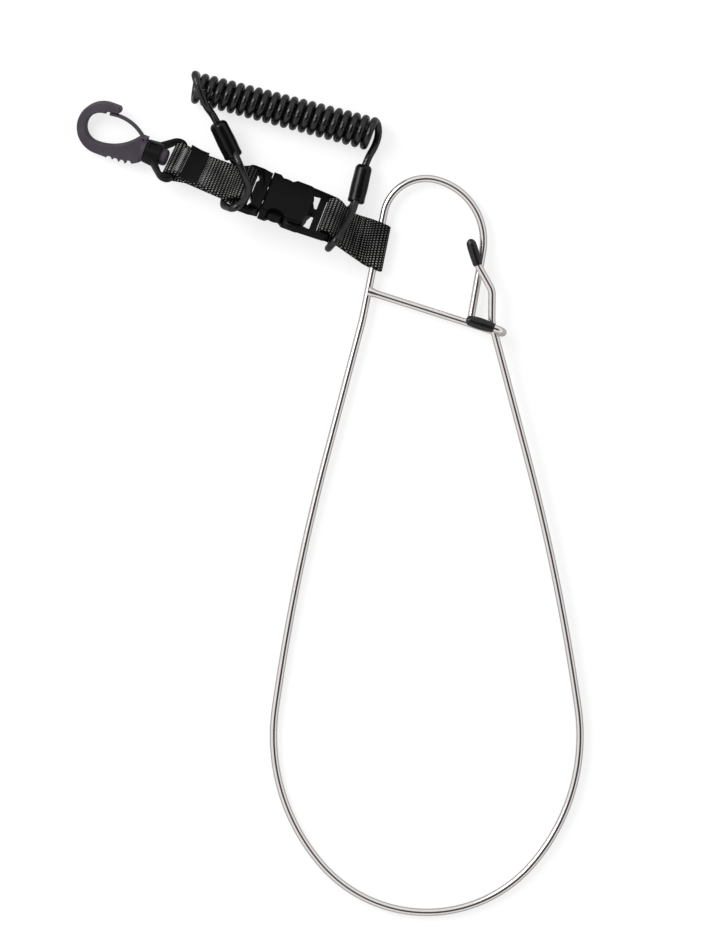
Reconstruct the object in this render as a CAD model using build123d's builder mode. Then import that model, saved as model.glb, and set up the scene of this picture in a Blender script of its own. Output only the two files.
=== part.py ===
import math
import os

from build123d import *

os.makedirs("parts", exist_ok=True)

# Driving dimensions, in millimetres and degrees.

# Ring wire
wire_diameter = 4.0
ring_bottom_x = 52.2
ring_bottom_y = -218.0
end_radius = 75.3
end_turn = 49.2
flank_radius = 105.9
flank_turn = 48.9
bow_radius = 1186.0
bow_turn = 6.7
fixed_leg_run = 74.4
free_leg_run = 73.0
kink_radius = 60.0
kink_turn = 3.4
neck_run = 57.3
crook_radius = 23.0
crook_turn = 93.2
shoulder_radius = 33.9
shoulder_turn = 85.3

# Keeper bar that the free leg hooks behind
keeper_from_kink = 14.0
keeper_slope = -17.6
keeper_past_leg = -0.23
u_bend_radius = 5.0
u_bend_lean = 9.0
keeper_arm = 15.0
sleeve_wall = 0.7
weld_flare = 1.1
weld_reach = 3.0

# Free leg above the keeper
knee_radius = 14.0
knee_turn = 15.4
riser_run = 13.0
tip_bend_radius = 9.0
tip_bend_turn = 30.0
tip_run = 27.0
leg_lift = 4.64
cap_length = 15.0
cap_wall = 0.6

# Webbing
web_width = 25.0
web_thickness = 1.7
web_slack = 0.8
strap_from_keeper = 25.0
strap_bearing = 151.0
strap_span = 29.0
loop_run = 9.0
wire_loop_run = 6.0
plug_loop_run = 6.8
pinched_width = 20.5

# Buckle
buckle_tilt = 42.0
buckle_bearing = 159.4
buckle_clear = 3.9
bar_diameter = 4.4
arm_width = 3.2
arm_tip = 1.9
arm_bow = 4.0
end_corner = 3.0
side_gap = 0.8
frame_thickness = 4.4
body_half_width = 14.5
body_thickness = 10.0
body_edge = 1.6
slot_width = 2.8
crosspiece_width = 3.9
window_length = 4.8
window_inset = 1.2
window_margin = 0.9
body_length = 23.5
cavity_half_width = 12.0
cavity_height = 5.6
post_length = 3.8
thumb_length = 10.0
seat_gap = 0.3
plug_shoulder = 7.0
plug_waist = 13.0
plug_corner = 4.0
plug_flare = 3.6
flare_round = 5.0
crescent_horn = 6.0
crescent_waist = 1.9
crescent_width = 14.0
slot_notch = 2.2
prong_width = 2.6
prong_height = 4.8
prong_length = 22.4
catch_step = 1.2
catch_length = 8.2
pad_bulge = 2.6
prong_inset = 2.0
root_radius = 1.2
tongue_half_width = 2.2
tongue_length = 12.0
fit_gap = 0.1

# Swivel base
left_span = 39.0
swivel_bar_diameter = 4.0
swivel_tilt = 32.0
swivel_drop = 7.0
swivel_thickness = 5.4
swivel_arm = 2.6
swivel_corner = 4.5
shoulder_round = 6.0
swivel_opening = 9.2
collar_length = 8.5
collar_radius = 6.4
stem_radius = 3.0
head_radius = 4.6
head_length = 3.9
head_edge = 1.6
recess_side = 4.2
recess_depth = 0.9

# Snap hook
hook_roll = 14.0
hook_depth = 6.4
hook_edge = 0.9
flange_radius = 6.2
flange_length = 2.2
neck_half_width = 6.6
bowl_x = 25.6
bowl_y = -3.6
bowl_radius = 14.4
eye_x = 26.7
eye_y = -3.5
eye_radius = 8.2
spine_x = 12.0
nose_x = 19.2
nose_thickness = 4.2
throat_x = 7.2
throat_y = -4.2
ridge_radius = 1.75
ridge_pitch = 3.6
ridge_rise = 0.4
ridge_fade = 1.5
ridge_count = 4
gate_x = 2.6
gate_y = -5.6
gate_thickness = 1.5
gate_width = 4.2
gate_bead = 1.6
gate_pin_radius = 0.7
gate_swing = 25.0

# Coiled lanyard
cord_diameter = 4.0
coil_radius = 6.75
coil_turns = 20.25
coil_start_x = -73.6
coil_start_y = 227.3
coil_end_x = 23.6
coil_end_y = 201.7
sleeve_length = 20.5
sleeve_wide = 10.4
sleeve_thick = 8.6
crimp_length = 12.0
crimp_wall = 0.6
crimp_lip = 3.0
strand_offset = 2.2
left_sleeve_x = -52.6
left_sleeve_y = 191.2
left_sleeve_z = 9.4
left_sleeve_bearing = 116.0
left_sleeve_pitch = 9.0
right_sleeve_x = 14.2
right_sleeve_y = 166.8
right_sleeve_z = 7.2
right_sleeve_bearing = 76.6
right_sleeve_pitch = -3.0
mouth_run = 3.6

# Label patch on the left strap, left bare
label_length = 8.0
label_thickness = 0.6

# Values worked out from the above.
wire_radius = wire_diameter / 2
cord_radius = cord_diameter / 2
bar_radius = bar_diameter / 2
swivel_bar_radius = swivel_bar_diameter / 2
half_web = web_width / 2
layers = 2 * web_thickness
frame_inner = half_web + side_gap
frame_outer = frame_inner + arm_width
swivel_inner = pinched_width / 2 + side_gap
swivel_outer = swivel_inner + swivel_arm
up = Vector(0, 0, 1)


def loop_inner(held_radius):
    return held_radius + web_slack


def loop_outer(held_radius):
    return held_radius + web_slack + web_thickness


# Ring wire: the fixed half runs from the bottom split, up the left leg, round the crook to the keeper.
fold_slack = 0.9


def climb(radius, from_turn, to_turn):
    return radius * (math.cos(math.radians(from_turn)) - math.cos(math.radians(to_turn)))


side_turn = end_turn + flank_turn
leg_turn = side_turn + bow_turn
leg_climb = (
    climb(end_radius, 0, end_turn) + climb(flank_radius, end_turn, side_turn) + climb(bow_radius, side_turn, leg_turn)
)
leg_sine = math.sin(math.radians(leg_turn))
knee_height = leg_climb + free_leg_run * leg_sine
kink_run = kink_radius * math.radians(kink_turn)
neck_height = leg_climb + (fixed_leg_run + kink_run + keeper_from_kink + strap_from_keeper) * leg_sine
loop_rise = loop_outer(wire_radius) - wire_radius + fold_slack * 0.4 + 0.15
ring_pitch = math.degrees(math.asin(loop_rise / neck_height))
ring_plane = Plane(
    origin=(ring_bottom_x, ring_bottom_y, wire_radius),
    x_dir=(1, 0, 0),
    z_dir=up.rotate(Axis.X, ring_pitch),
)
leg_plane = Plane(
    origin=ring_plane.origin,
    x_dir=(1, 0, 0),
    z_dir=up.rotate(Axis.X, ring_pitch + math.degrees(math.asin(leg_lift / knee_height))),
)

with BuildLine(ring_plane) as ring_path:
    fixed_end = JernArc((0, 0), (-1, 0), end_radius, -end_turn)
    fixed_flank = JernArc(fixed_end @ 1, fixed_end % 1, flank_radius, -flank_turn)
    fixed_bow = JernArc(fixed_flank @ 1, fixed_flank % 1, bow_radius, -bow_turn)
    fixed_leg = Line(fixed_bow @ 1, (fixed_bow @ 1) + (fixed_bow % 1) * fixed_leg_run)
    kink = JernArc(fixed_leg @ 1, fixed_leg % 1, kink_radius, kink_turn)
    neck = Line(kink @ 1, (kink @ 1) + (kink % 1) * neck_run)
    crook = JernArc(neck @ 1, neck % 1, crook_radius, -crook_turn)
    shoulder = JernArc(crook @ 1, crook % 1, shoulder_radius, -shoulder_turn)
    keeper_start = (kink @ 1) + (kink % 1) * keeper_from_kink
    keeper_dir = Vector(1, 0, 0).rotate(Axis((0, 0, 0), ring_plane.z_dir), keeper_slope)
    across_keeper = ring_plane.z_dir.cross(keeper_dir)
    foot_dir = shoulder % 1
    foot_run = (keeper_start - (shoulder @ 1)).dot(across_keeper) / foot_dir.dot(across_keeper)
    foot = Line(shoulder @ 1, (shoulder @ 1) + foot_dir * foot_run)

with BuildPart() as ring_whole:
    with BuildSketch(Plane(origin=ring_path.line @ 0, z_dir=ring_path.line % 0)):
        Circle(wire_radius)
    sweep(path=ring_path.line)

# Free leg: the springy half, hooked between the keeper bar and its sleeved arm.
with BuildLine(leg_plane) as leg_path:
    free_end = JernArc((0, 0), (1, 0), end_radius, end_turn)
    free_flank = JernArc(free_end @ 1, free_end % 1, flank_radius, flank_turn)
    free_bow = JernArc(free_flank @ 1, free_flank % 1, bow_radius, bow_turn)
    free_leg = Line(free_bow @ 1, (free_bow @ 1) + (free_bow % 1) * free_leg_run)
    knee = JernArc(free_leg @ 1, free_leg % 1, knee_radius, -knee_turn)
    riser = Line(knee @ 1, (knee @ 1) + (knee % 1) * riser_run)
    tip_bend = JernArc(riser @ 1, riser % 1, tip_bend_radius, tip_bend_turn)
    tip = Line(tip_bend @ 1, (tip_bend @ 1) + (tip_bend % 1) * tip_run)

# Keeper bar: straight run to just past the free leg, then a bend towards the viewer and back over itself.
keeper_at = ring_plane.to_local_coords(keeper_start)
keeper_aim = Vector(1, 0, 0).rotate(Axis.Z, keeper_slope)
leg_at = leg_plane.to_local_coords(free_leg @ 0)
leg_aim = leg_plane.to_local_coords(free_leg @ 1) - leg_at
keeper_run = (leg_at - keeper_at).cross(leg_aim).Z / keeper_aim.cross(leg_aim).Z + keeper_past_leg
neck_dir = neck % 0
lean_dir = ring_plane.z_dir.rotate(Axis((0, 0, 0), keeper_dir), -u_bend_lean)
keeper_plane = Plane(origin=keeper_start, x_dir=keeper_dir, z_dir=keeper_dir.cross(lean_dir))

with BuildLine(keeper_plane) as keeper_path:
    keeper_straight = Line((0, 0), (keeper_run, 0))
    keeper_bend = JernArc(keeper_straight @ 1, keeper_straight % 1, u_bend_radius, 180)
    keeper_back = Line(keeper_bend @ 1, (keeper_bend @ 1) + (keeper_bend % 1) * keeper_arm)

with BuildPart() as keeper_bar:
    with BuildSketch(Plane(origin=keeper_start, z_dir=keeper_dir)):
        Circle(wire_radius)
    sweep(path=keeper_path.line)
    with BuildSketch(Plane(origin=keeper_start + keeper_dir * wire_radius * 0.5, z_dir=keeper_dir)):
        Circle(wire_radius + weld_flare)
    with BuildSketch(Plane(origin=keeper_start + keeper_dir * (wire_radius + weld_reach), z_dir=keeper_dir)):
        Circle(wire_radius)
    loft()
    with BuildSketch(Plane(origin=keeper_start - neck_dir * 9, z_dir=neck_dir)):
        Circle(wire_radius)
    extrude(amount=18, mode=Mode.SUBTRACT)

with BuildPart() as ring_wire:
    add(ring_whole.part)
    with BuildSketch(Plane(origin=keeper_start + keeper_dir * 20, z_dir=keeper_dir)):
        Circle(wire_radius)
    extrude(amount=keeper_run - 20, mode=Mode.SUBTRACT)
ring_wire.part.label = "ring_wire"
export_step(ring_wire.part, "parts/ring_wire.step")
keeper_bar.part.label = "keeper_bar"
export_step(keeper_bar.part, "parts/keeper_bar.step")

arm_dir = keeper_dir * -1
arm_start = keeper_back @ 0
with BuildPart() as keeper_sleeve:
    with BuildSketch(Plane(origin=arm_start + arm_dir * 0.2, z_dir=arm_dir)):
        Circle(wire_radius + sleeve_wall)
    extrude(amount=keeper_arm + 0.8)
    fillet(keeper_sleeve.faces().sort_by(Axis(arm_start, arm_dir))[-1].edges(), wire_radius * 0.8)
    with BuildSketch(Plane(origin=arm_start, z_dir=arm_dir)):
        Circle(wire_radius)
    extrude(amount=keeper_arm, mode=Mode.SUBTRACT)
keeper_sleeve.part.label = "keeper_sleeve"
export_step(keeper_sleeve.part, "parts/keeper_sleeve.step")

with BuildPart() as leg_wire:
    with BuildSketch(Plane(origin=leg_path.line @ 0, z_dir=leg_path.line % 0)):
        Circle(wire_radius)
    sweep(path=leg_path.line)
leg_wire.part.label = "leg_wire"
export_step(leg_wire.part, "parts/leg_wire.step")

tip_dir = tip % 1
cap_start = (tip @ 1) - tip_dir * (cap_length - 1.0)
with BuildPart() as tip_cap:
    with BuildSketch(Plane(origin=cap_start, z_dir=tip_dir)):
        Circle(wire_radius + cap_wall)
    extrude(amount=cap_length)
    fillet(tip_cap.faces().sort_by(Axis(cap_start, tip_dir))[-1].edges(), wire_radius * 0.8)
    with BuildSketch(Plane(origin=cap_start, z_dir=tip_dir)):
        Circle(wire_radius)
    extrude(amount=cap_length - 1.0, mode=Mode.SUBTRACT)
tip_cap.part.label = "tip_cap"
export_step(tip_cap.part, "parts/tip_cap.step")

# Chain frame: x runs from the socket's end bar towards the hook, y is the edge raised off the surface.
wire_point = keeper_start + neck_dir * strap_from_keeper
chain_dir = Vector(1, 0, 0).rotate(Axis.Z, buckle_bearing)
chain_rise = (
    frame_outer * math.sin(math.radians(buckle_tilt))
    + frame_thickness / 2 * math.cos(math.radians(buckle_tilt))
    + buckle_clear
)
to_socket = Vector(strap_span, 0, 0).rotate(Axis.Z, strap_bearing)
socket_point = Vector(wire_point.X + to_socket.X, wire_point.Y + to_socket.Y, chain_rise)
chain = Plane(
    origin=socket_point,
    x_dir=chain_dir,
    z_dir=up.rotate(Axis((0, 0, 0), chain_dir), buckle_tilt),
)

# Socket
slot_start = bar_radius
cross_start = slot_start + slot_width
window_start = cross_start + crosspiece_width
body_start = window_start + window_length
body_end = body_start + body_length
post_start = body_end - post_length
thumb_start = post_start - thumb_length
cavity_depth = body_length - 1.6
window_reach = frame_inner + window_margin
end_half = frame_inner + arm_tip
arm_root = thumb_start - 3.5
arm_seat = thumb_start + 1.5
arm_seat_half = body_half_width - 1.5
thumb_sagitta = 3.4
thumb_radius = (thumb_length**2 / 4 + thumb_sagitta**2) / (2 * thumb_sagitta)

with BuildPart() as socket_body:
    with BuildSketch(chain):
        with BuildLine():
            Polyline(
                (body_start - 2.0, -body_half_width + 2.5),
                (body_start + 1.5, -body_half_width),
                (body_end, -body_half_width),
                (body_end, body_half_width),
                (body_start + 1.5, body_half_width),
                (body_start - 2.0, body_half_width - 2.5),
                close=True,
            )
        make_face()
    extrude(amount=body_thickness / 2, both=True)
    fillet(socket_body.faces().filter_by(Plane(chain.origin, z_dir=chain.z_dir)).edges(), body_edge)

with BuildPart() as buckle_socket:
    with BuildSketch(chain):
        with BuildLine():
            Polyline(
                (-bar_radius, -end_half),
                (arm_root, -frame_outer),
                (arm_seat, -arm_seat_half),
                (arm_seat, arm_seat_half),
                (arm_root, frame_outer),
                (-bar_radius, end_half),
                close=True,
            )
        make_face()
        fillet(vertices().sort_by(Axis.X)[:2], end_corner)
        fillet(vertices().sort_by(Axis.X)[4:6], arm_bow)
    extrude(amount=frame_thickness / 2, both=True)
    fillet(buckle_socket.faces().filter_by(Plane(chain.origin, z_dir=chain.z_dir)).edges(), 0.8)
    add(socket_body.part)
    thumb_reach = body_half_width - thumb_sagitta + thumb_radius
    thumb_mid = thumb_start + thumb_length / 2
    with BuildSketch(chain):
        with Locations((thumb_mid, thumb_reach), (thumb_mid, -thumb_reach)):
            Circle(thumb_radius)
    extrude(amount=body_thickness, both=True, mode=Mode.SUBTRACT)
    with BuildSketch(chain):
        with Locations((body_end - cavity_depth / 2, 0)):
            Rectangle(cavity_depth, 2 * cavity_half_width)
        with Locations((thumb_mid, 0)):
            Rectangle(thumb_length, 2 * frame_outer + 2)
    extrude(amount=cavity_height / 2, both=True, mode=Mode.SUBTRACT)
    with BuildSketch(chain):
        with Locations(((slot_start + cross_start) / 2 - bar_radius, 0)):
            Rectangle(slot_width + 2 * bar_radius, 2 * frame_inner)
    extrude(amount=frame_thickness, both=True, mode=Mode.SUBTRACT)
    with BuildSketch(chain):
        for side in (-1, 1):
            with BuildLine():
                Polyline(
                    (window_start, side * window_inset),
                    (window_start, side * window_reach),
                    (body_start - 0.2, side * (window_reach - 0.8)),
                    (body_start - 0.2, side * (window_reach - 4.6)),
                    (window_start + 1.3, side * window_inset),
                    close=True,
                )
            make_face()
        fillet(vertices(), 0.5)
    extrude(amount=body_thickness, both=True, mode=Mode.SUBTRACT)
    with BuildSketch(Plane(origin=chain.from_local_coords((0, -frame_inner - 0.2, 0)), z_dir=chain.y_dir)):
        Circle(bar_radius)
    extrude(amount=2 * frame_inner + 0.4)
buckle_socket.part.label = "buckle_socket"
export_step(buckle_socket.part, "parts/buckle_socket.step")

# Plug: shoulder, webbing frame and centre tongue; the two prongs are separate.
plug_start = body_end + seat_gap
plug_back = plug_start + plug_shoulder
plug_bar_x = plug_back + 0.4 + loop_outer(bar_radius)
root_x = plug_start + root_radius + 0.1
root_y = cavity_half_width - prong_inset
plug_frame_end = plug_bar_x + bar_radius

with BuildPart() as buckle_plug:
    with BuildSketch(chain):
        with BuildLine():
            Polyline(
                (plug_start, -plug_waist),
                (plug_start, plug_waist),
                (plug_start + plug_flare, frame_outer),
                (plug_frame_end, frame_outer),
                (plug_frame_end, -frame_outer),
                (plug_start + plug_flare, -frame_outer),
                close=True,
            )
        make_face()
        fillet(vertices().sort_by(Axis.X)[2:4], flare_round)
        fillet(vertices().sort_by(Axis.X)[-2:], plug_corner)
    extrude(amount=frame_thickness / 2, both=True)
    fillet(buckle_plug.faces().filter_by(Plane(chain.origin, z_dir=chain.z_dir)).edges(), 0.8)
    with BuildSketch(chain):
        with BuildLine():
            Polyline(
                (plug_start + crescent_horn, -crescent_width),
                (plug_start, -plug_waist),
                (plug_start, plug_waist),
                (plug_start + crescent_horn, crescent_width),
            )
            ThreePointArc(
                (plug_start + crescent_horn, crescent_width),
                (plug_start + crescent_waist, 0),
                (plug_start + crescent_horn, -crescent_width),
            )
        make_face()
    extrude(amount=body_thickness / 2 - 0.6, both=True)
    with BuildSketch(chain):
        with BuildLine():
            Polyline(
                (plug_back, -4.6),
                (plug_back - slot_notch, -8.6),
                (plug_back, -frame_inner),
                (plug_frame_end + 1, -frame_inner),
                (plug_frame_end + 1, frame_inner),
                (plug_back, frame_inner),
                (plug_back - slot_notch, 8.6),
                (plug_back, 4.6),
                close=True,
            )
        make_face()
    extrude(amount=body_thickness, both=True, mode=Mode.SUBTRACT)
    with BuildSketch(Plane(origin=chain.from_local_coords((plug_bar_x, -frame_inner - 0.2, 0)), z_dir=chain.y_dir)):
        Circle(bar_radius)
    extrude(amount=2 * frame_inner + 0.4)
    with BuildSketch(chain):
        with Locations((plug_start - tongue_length / 2 + 0.5, 0)):
            RectangleRounded(tongue_length + 1, 2 * tongue_half_width, 0.9)
    extrude(amount=cavity_height / 2 - 0.6, both=True)
    with BuildSketch(chain):
        with Locations((root_x, root_y), (root_x, -root_y)):
            Circle(root_radius + fit_gap)
        with Locations((root_x - 2.5, root_y - 0.1), (root_x - 2.5, -root_y + 0.1)):
            Rectangle(5.0, prong_width + 1.2)
    extrude(amount=prong_height / 2 + fit_gap, both=True, mode=Mode.SUBTRACT)
buckle_plug.part.label = "buckle_plug"
export_step(buckle_plug.part, "parts/buckle_plug.step")

# Prongs: each has a round root in the plug, a catch that bears on the socket's post, a thumb pad and a tip.
catch_x = post_start - seat_gap
pad_end_x = catch_x - catch_length
tip_x = root_x - prong_length
catch_y = cavity_half_width + catch_step
pad_mid_x = (catch_x + pad_end_x) / 2
arm_outer = root_y + prong_width / 2
arm_inner = root_y - prong_width / 2

with BuildPart() as prong_right:
    with BuildSketch(chain):
        with BuildLine():
            Polyline(
                (root_x - 0.3, arm_inner),
                (root_x - 0.3, arm_outer - 0.2),
                (catch_x, arm_outer),
                (catch_x, catch_y),
            )
            ThreePointArc((catch_x, catch_y), (pad_mid_x, cavity_half_width + pad_bulge), (pad_end_x, catch_y))
            Polyline(
                (pad_end_x, catch_y),
                (pad_end_x - 1.6, arm_outer),
                (tip_x, arm_outer - 1.2),
                (tip_x, arm_inner - 0.4),
                (root_x - 0.3, arm_inner),
            )
        make_face()
        with Locations((root_x, root_y)):
            Circle(root_radius)
    extrude(amount=prong_height / 2, both=True)
prong_right.part.label = "prong_right"
export_step(prong_right.part, "parts/prong_right.step")

with BuildPart() as prong_left:
    add(prong_right.part)
    mirror(about=Plane(chain.origin, z_dir=chain.y_dir), mode=Mode.REPLACE)
prong_left.part.label = "prong_left"
export_step(prong_left.part, "parts/prong_left.step")

# Swivel base, lower and flatter than the buckle so that the hook reaches the surface.
plug_bar_point = chain.from_local_coords((plug_bar_x, 0, 0))
swivel_rise = (
    frame_outer * math.sin(math.radians(swivel_tilt))
    + swivel_thickness / 2 * math.cos(math.radians(swivel_tilt))
    + 0.2
)
swivel_point = Vector(
    plug_bar_point.X + chain_dir.X * left_span,
    plug_bar_point.Y + chain_dir.Y * left_span,
    swivel_rise,
)
side_dir = up.cross(chain_dir)
swivel_dir = chain_dir.rotate(Axis((0, 0, 0), side_dir), swivel_drop)
swivel_up = up.rotate(Axis((0, 0, 0), side_dir), swivel_drop)
swivel = Plane(
    origin=swivel_point,
    x_dir=swivel_dir,
    z_dir=swivel_up.rotate(Axis((0, 0, 0), swivel_dir), swivel_tilt),
)
collar_end = swivel_opening + collar_length
taper_start = loop_outer(swivel_bar_radius) + 0.4

with BuildPart() as swivel_base:
    with BuildSketch(swivel):
        with BuildLine():
            Polyline(
                (-swivel_bar_radius - 0.4, swivel_outer),
                (taper_start, swivel_outer),
                (swivel_opening + 3, collar_radius + 0.6),
                (collar_end, collar_radius),
                (collar_end, -collar_radius),
                (swivel_opening + 3, -collar_radius - 0.6),
                (taper_start, -swivel_outer),
                (-swivel_bar_radius - 0.4, -swivel_outer),
                close=True,
            )
        make_face()
        fillet(vertices().sort_by(Axis.X)[:2], swivel_corner)
        fillet(vertices().sort_by(Axis.X)[4:6], shoulder_round)
    extrude(amount=swivel_thickness / 2, both=True)
    fillet(swivel_base.faces().filter_by(Plane(swivel.origin, z_dir=swivel.z_dir)).edges(), 1.0)
    with BuildSketch(Plane(origin=swivel.from_local_coords((swivel_opening, 0, 0)), z_dir=swivel.x_dir)):
        Circle(collar_radius)
    extrude(amount=collar_length)
    with BuildSketch(swivel):
        with BuildLine():
            Polyline(
                (-swivel_bar_radius - 3, -swivel_inner),
                (taper_start, -swivel_inner),
                (swivel_opening, -head_radius - 1.2),
                (swivel_opening, head_radius + 1.2),
                (taper_start, swivel_inner),
                (-swivel_bar_radius - 3, swivel_inner),
                close=True,
            )
        make_face()
    extrude(amount=collar_radius + 1, both=True, mode=Mode.SUBTRACT)
    with BuildSketch(Plane(origin=swivel.from_local_coords((0, -swivel_inner - 0.2, 0)), z_dir=swivel.y_dir)):
        Circle(swivel_bar_radius)
    extrude(amount=2 * swivel_inner + 0.4)
    with BuildSketch(Plane(origin=swivel.from_local_coords((swivel_opening - 1, 0, 0)), z_dir=swivel.x_dir)):
        Circle(stem_radius + fit_gap)
    extrude(amount=collar_length + 2, mode=Mode.SUBTRACT)
    with BuildSketch(Plane(
        origin=swivel.from_local_coords((swivel_opening + collar_length * 0.55, 0, collar_radius - recess_depth)),
        x_dir=swivel.x_dir, z_dir=swivel.z_dir,
    )):
        RectangleRounded(recess_side, recess_side, 0.6)
    extrude(amount=recess_depth + 1, mode=Mode.SUBTRACT)
swivel_base.part.label = "swivel_base"
export_step(swivel_base.part, "parts/swivel_base.step")

# Snap hook, turned on its stem.
hook_start = collar_end + seat_gap
hook_plane = Plane(
    origin=swivel.from_local_coords((hook_start, 0, 0)),
    x_dir=swivel_dir,
    z_dir=swivel_up.rotate(Axis((0, 0, 0), swivel_dir), -hook_roll),
)
spine_y = bowl_y + bowl_radius
nose_top_y = bowl_y - bowl_radius
nose_under_y = nose_top_y + nose_thickness
eye_top_y = eye_y - eye_radius
neck_top_y = -neck_half_width - 0.8
neck_face = flange_length / 4
head_back = swivel_opening - fit_gap - hook_start
head_end = head_back - head_length
throat_turn = 2 * math.atan2(eye_y + eye_radius - throat_y, eye_x - throat_x)
neck_corner = throat_x - (throat_y - neck_top_y) / math.tan(throat_turn)
gate_line = Plane(origin=hook_plane.from_local_coords((gate_x, gate_y, 0)), x_dir=hook_plane.x_dir,
                  z_dir=hook_plane.z_dir)

with BuildPart() as hook_stem:
    with BuildSketch(Plane(origin=hook_plane.from_local_coords((head_end, 0, 0)), z_dir=swivel_dir)):
        Circle(head_radius)
    extrude(amount=head_length)
    fillet(hook_stem.faces().sort_by(Axis(hook_plane.origin, swivel_dir))[0].edges(), head_edge)
    with BuildSketch(Plane(origin=hook_plane.from_local_coords((head_back - 1, 0, 0)), z_dir=swivel_dir)):
        Circle(stem_radius)
    extrude(amount=flange_length / 2 + 1 - head_back)
    with BuildSketch(Plane(origin=hook_plane.origin, z_dir=swivel_dir)):
        Circle(flange_radius)
    extrude(amount=flange_length)

with BuildPart() as hook_body:
    with BuildSketch(hook_plane):
        with BuildLine():
            Line((neck_face, neck_top_y), (neck_face, neck_half_width))
            TangentArc((spine_x, spine_y), (neck_face, neck_half_width), tangent=(-1, 0))
            Line((spine_x, spine_y), (bowl_x, spine_y))
            ThreePointArc(
                (bowl_x, spine_y),
                (bowl_x + bowl_radius, bowl_y),
                (bowl_x, nose_top_y),
            )
            Line((bowl_x, nose_top_y), (nose_x + 1.6, nose_top_y))
            ThreePointArc(
                (nose_x + 1.6, nose_top_y),
                (nose_x, (nose_top_y + nose_under_y) / 2),
                (nose_x + 1.4, nose_under_y),
            )
            Line((nose_x + 1.4, nose_under_y), (eye_x - 1.0, nose_under_y + 0.6))
            Line((eye_x - 1.0, nose_under_y + 0.6), (eye_x, eye_top_y))
            ThreePointArc((eye_x, eye_top_y), (eye_x + eye_radius, eye_y), (eye_x, eye_y + eye_radius))
            TangentArc((eye_x, eye_y + eye_radius), (throat_x, throat_y), tangent=(-1, 0))
            Polyline((throat_x, throat_y), (neck_corner, neck_top_y), (neck_face, neck_top_y))
        make_face()
    extrude(amount=hook_depth / 2, both=True)
    hook_faces = hook_body.faces().filter_by(Plane(hook_plane.origin, z_dir=hook_plane.z_dir))
    fillet(hook_faces.edges(), hook_edge)
    with BuildSketch(hook_plane):
        for ridge in range(ridge_count):
            with Locations((6.4 + ridge * ridge_pitch, spine_y + ridge_rise - ridge_fade * math.exp(-0.9 * ridge))):
                Circle(ridge_radius)
    extrude(amount=hook_depth, both=True, mode=Mode.SUBTRACT)
    add(hook_stem.part)
    with BuildSketch(gate_line):
        Circle(gate_bead + fit_gap)
        with Locations((3.4, -2.0)):
            Rectangle(6.8, 5.2)
    extrude(amount=gate_width / 2 + fit_gap, both=True, mode=Mode.SUBTRACT)
    with BuildSketch(gate_line):
        Circle(gate_pin_radius)
    extrude(amount=hook_depth, both=True, mode=Mode.SUBTRACT)
hook_body.part.label = "hook_body"
export_step(hook_body.part, "parts/hook_body.step")

with BuildPart() as gate_pin:
    with BuildSketch(gate_line):
        Circle(gate_pin_radius)
    extrude(amount=hook_depth / 2 - 0.2, both=True)
gate_pin.part.label = "gate_pin"
export_step(gate_pin.part, "parts/gate_pin.step")

gate_tip_x = eye_x - 2.2 - gate_x
gate_tip_y = nose_under_y + 0.6 + 0.35 + gate_thickness / 2 - gate_y
with BuildLine(gate_line) as gate_path:
    gate_bow = ThreePointArc((0, 0), (gate_tip_x * 0.33, gate_tip_y * 0.78), (gate_tip_x, gate_tip_y))

with BuildPart() as hook_gate:
    with BuildSketch(Plane(origin=gate_bow @ 0, x_dir=hook_plane.z_dir, z_dir=gate_bow % 0)):
        RectangleRounded(gate_width - 0.4, gate_thickness, 0.5)
    sweep(path=gate_path.line)
    with BuildSketch(gate_line):
        Circle(gate_bead)
    extrude(amount=gate_width / 2, both=True)
    with BuildSketch(gate_line):
        Circle(gate_pin_radius)
    extrude(amount=hook_depth, both=True, mode=Mode.SUBTRACT)
hook_gate.part.label = "hook_gate"
export_step(hook_gate.part, "parts/hook_gate.step")


# Straps: a sewn loop of webbing at each end and two layers between, twisted where the ends differ.
def aimed(point, width_dir, target):
    toward = target - point
    along = (toward - width_dir * toward.dot(width_dir)).normalized()
    return Plane(origin=point, x_dir=along, z_dir=along.cross(width_dir))


def section(plane, reach):
    return Plane(origin=plane.from_local_coords((reach, 0, 0)), x_dir=plane.y_dir, z_dir=plane.x_dir)


wire_side = aimed(wire_point, neck_dir * -1, chain.origin)
socket_side = aimed(chain.origin, chain.y_dir * -1, wire_point)
plug_side = aimed(plug_bar_point, chain.y_dir, swivel_point)
swivel_side = aimed(swivel_point, swivel.y_dir * -1, plug_bar_point)

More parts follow.
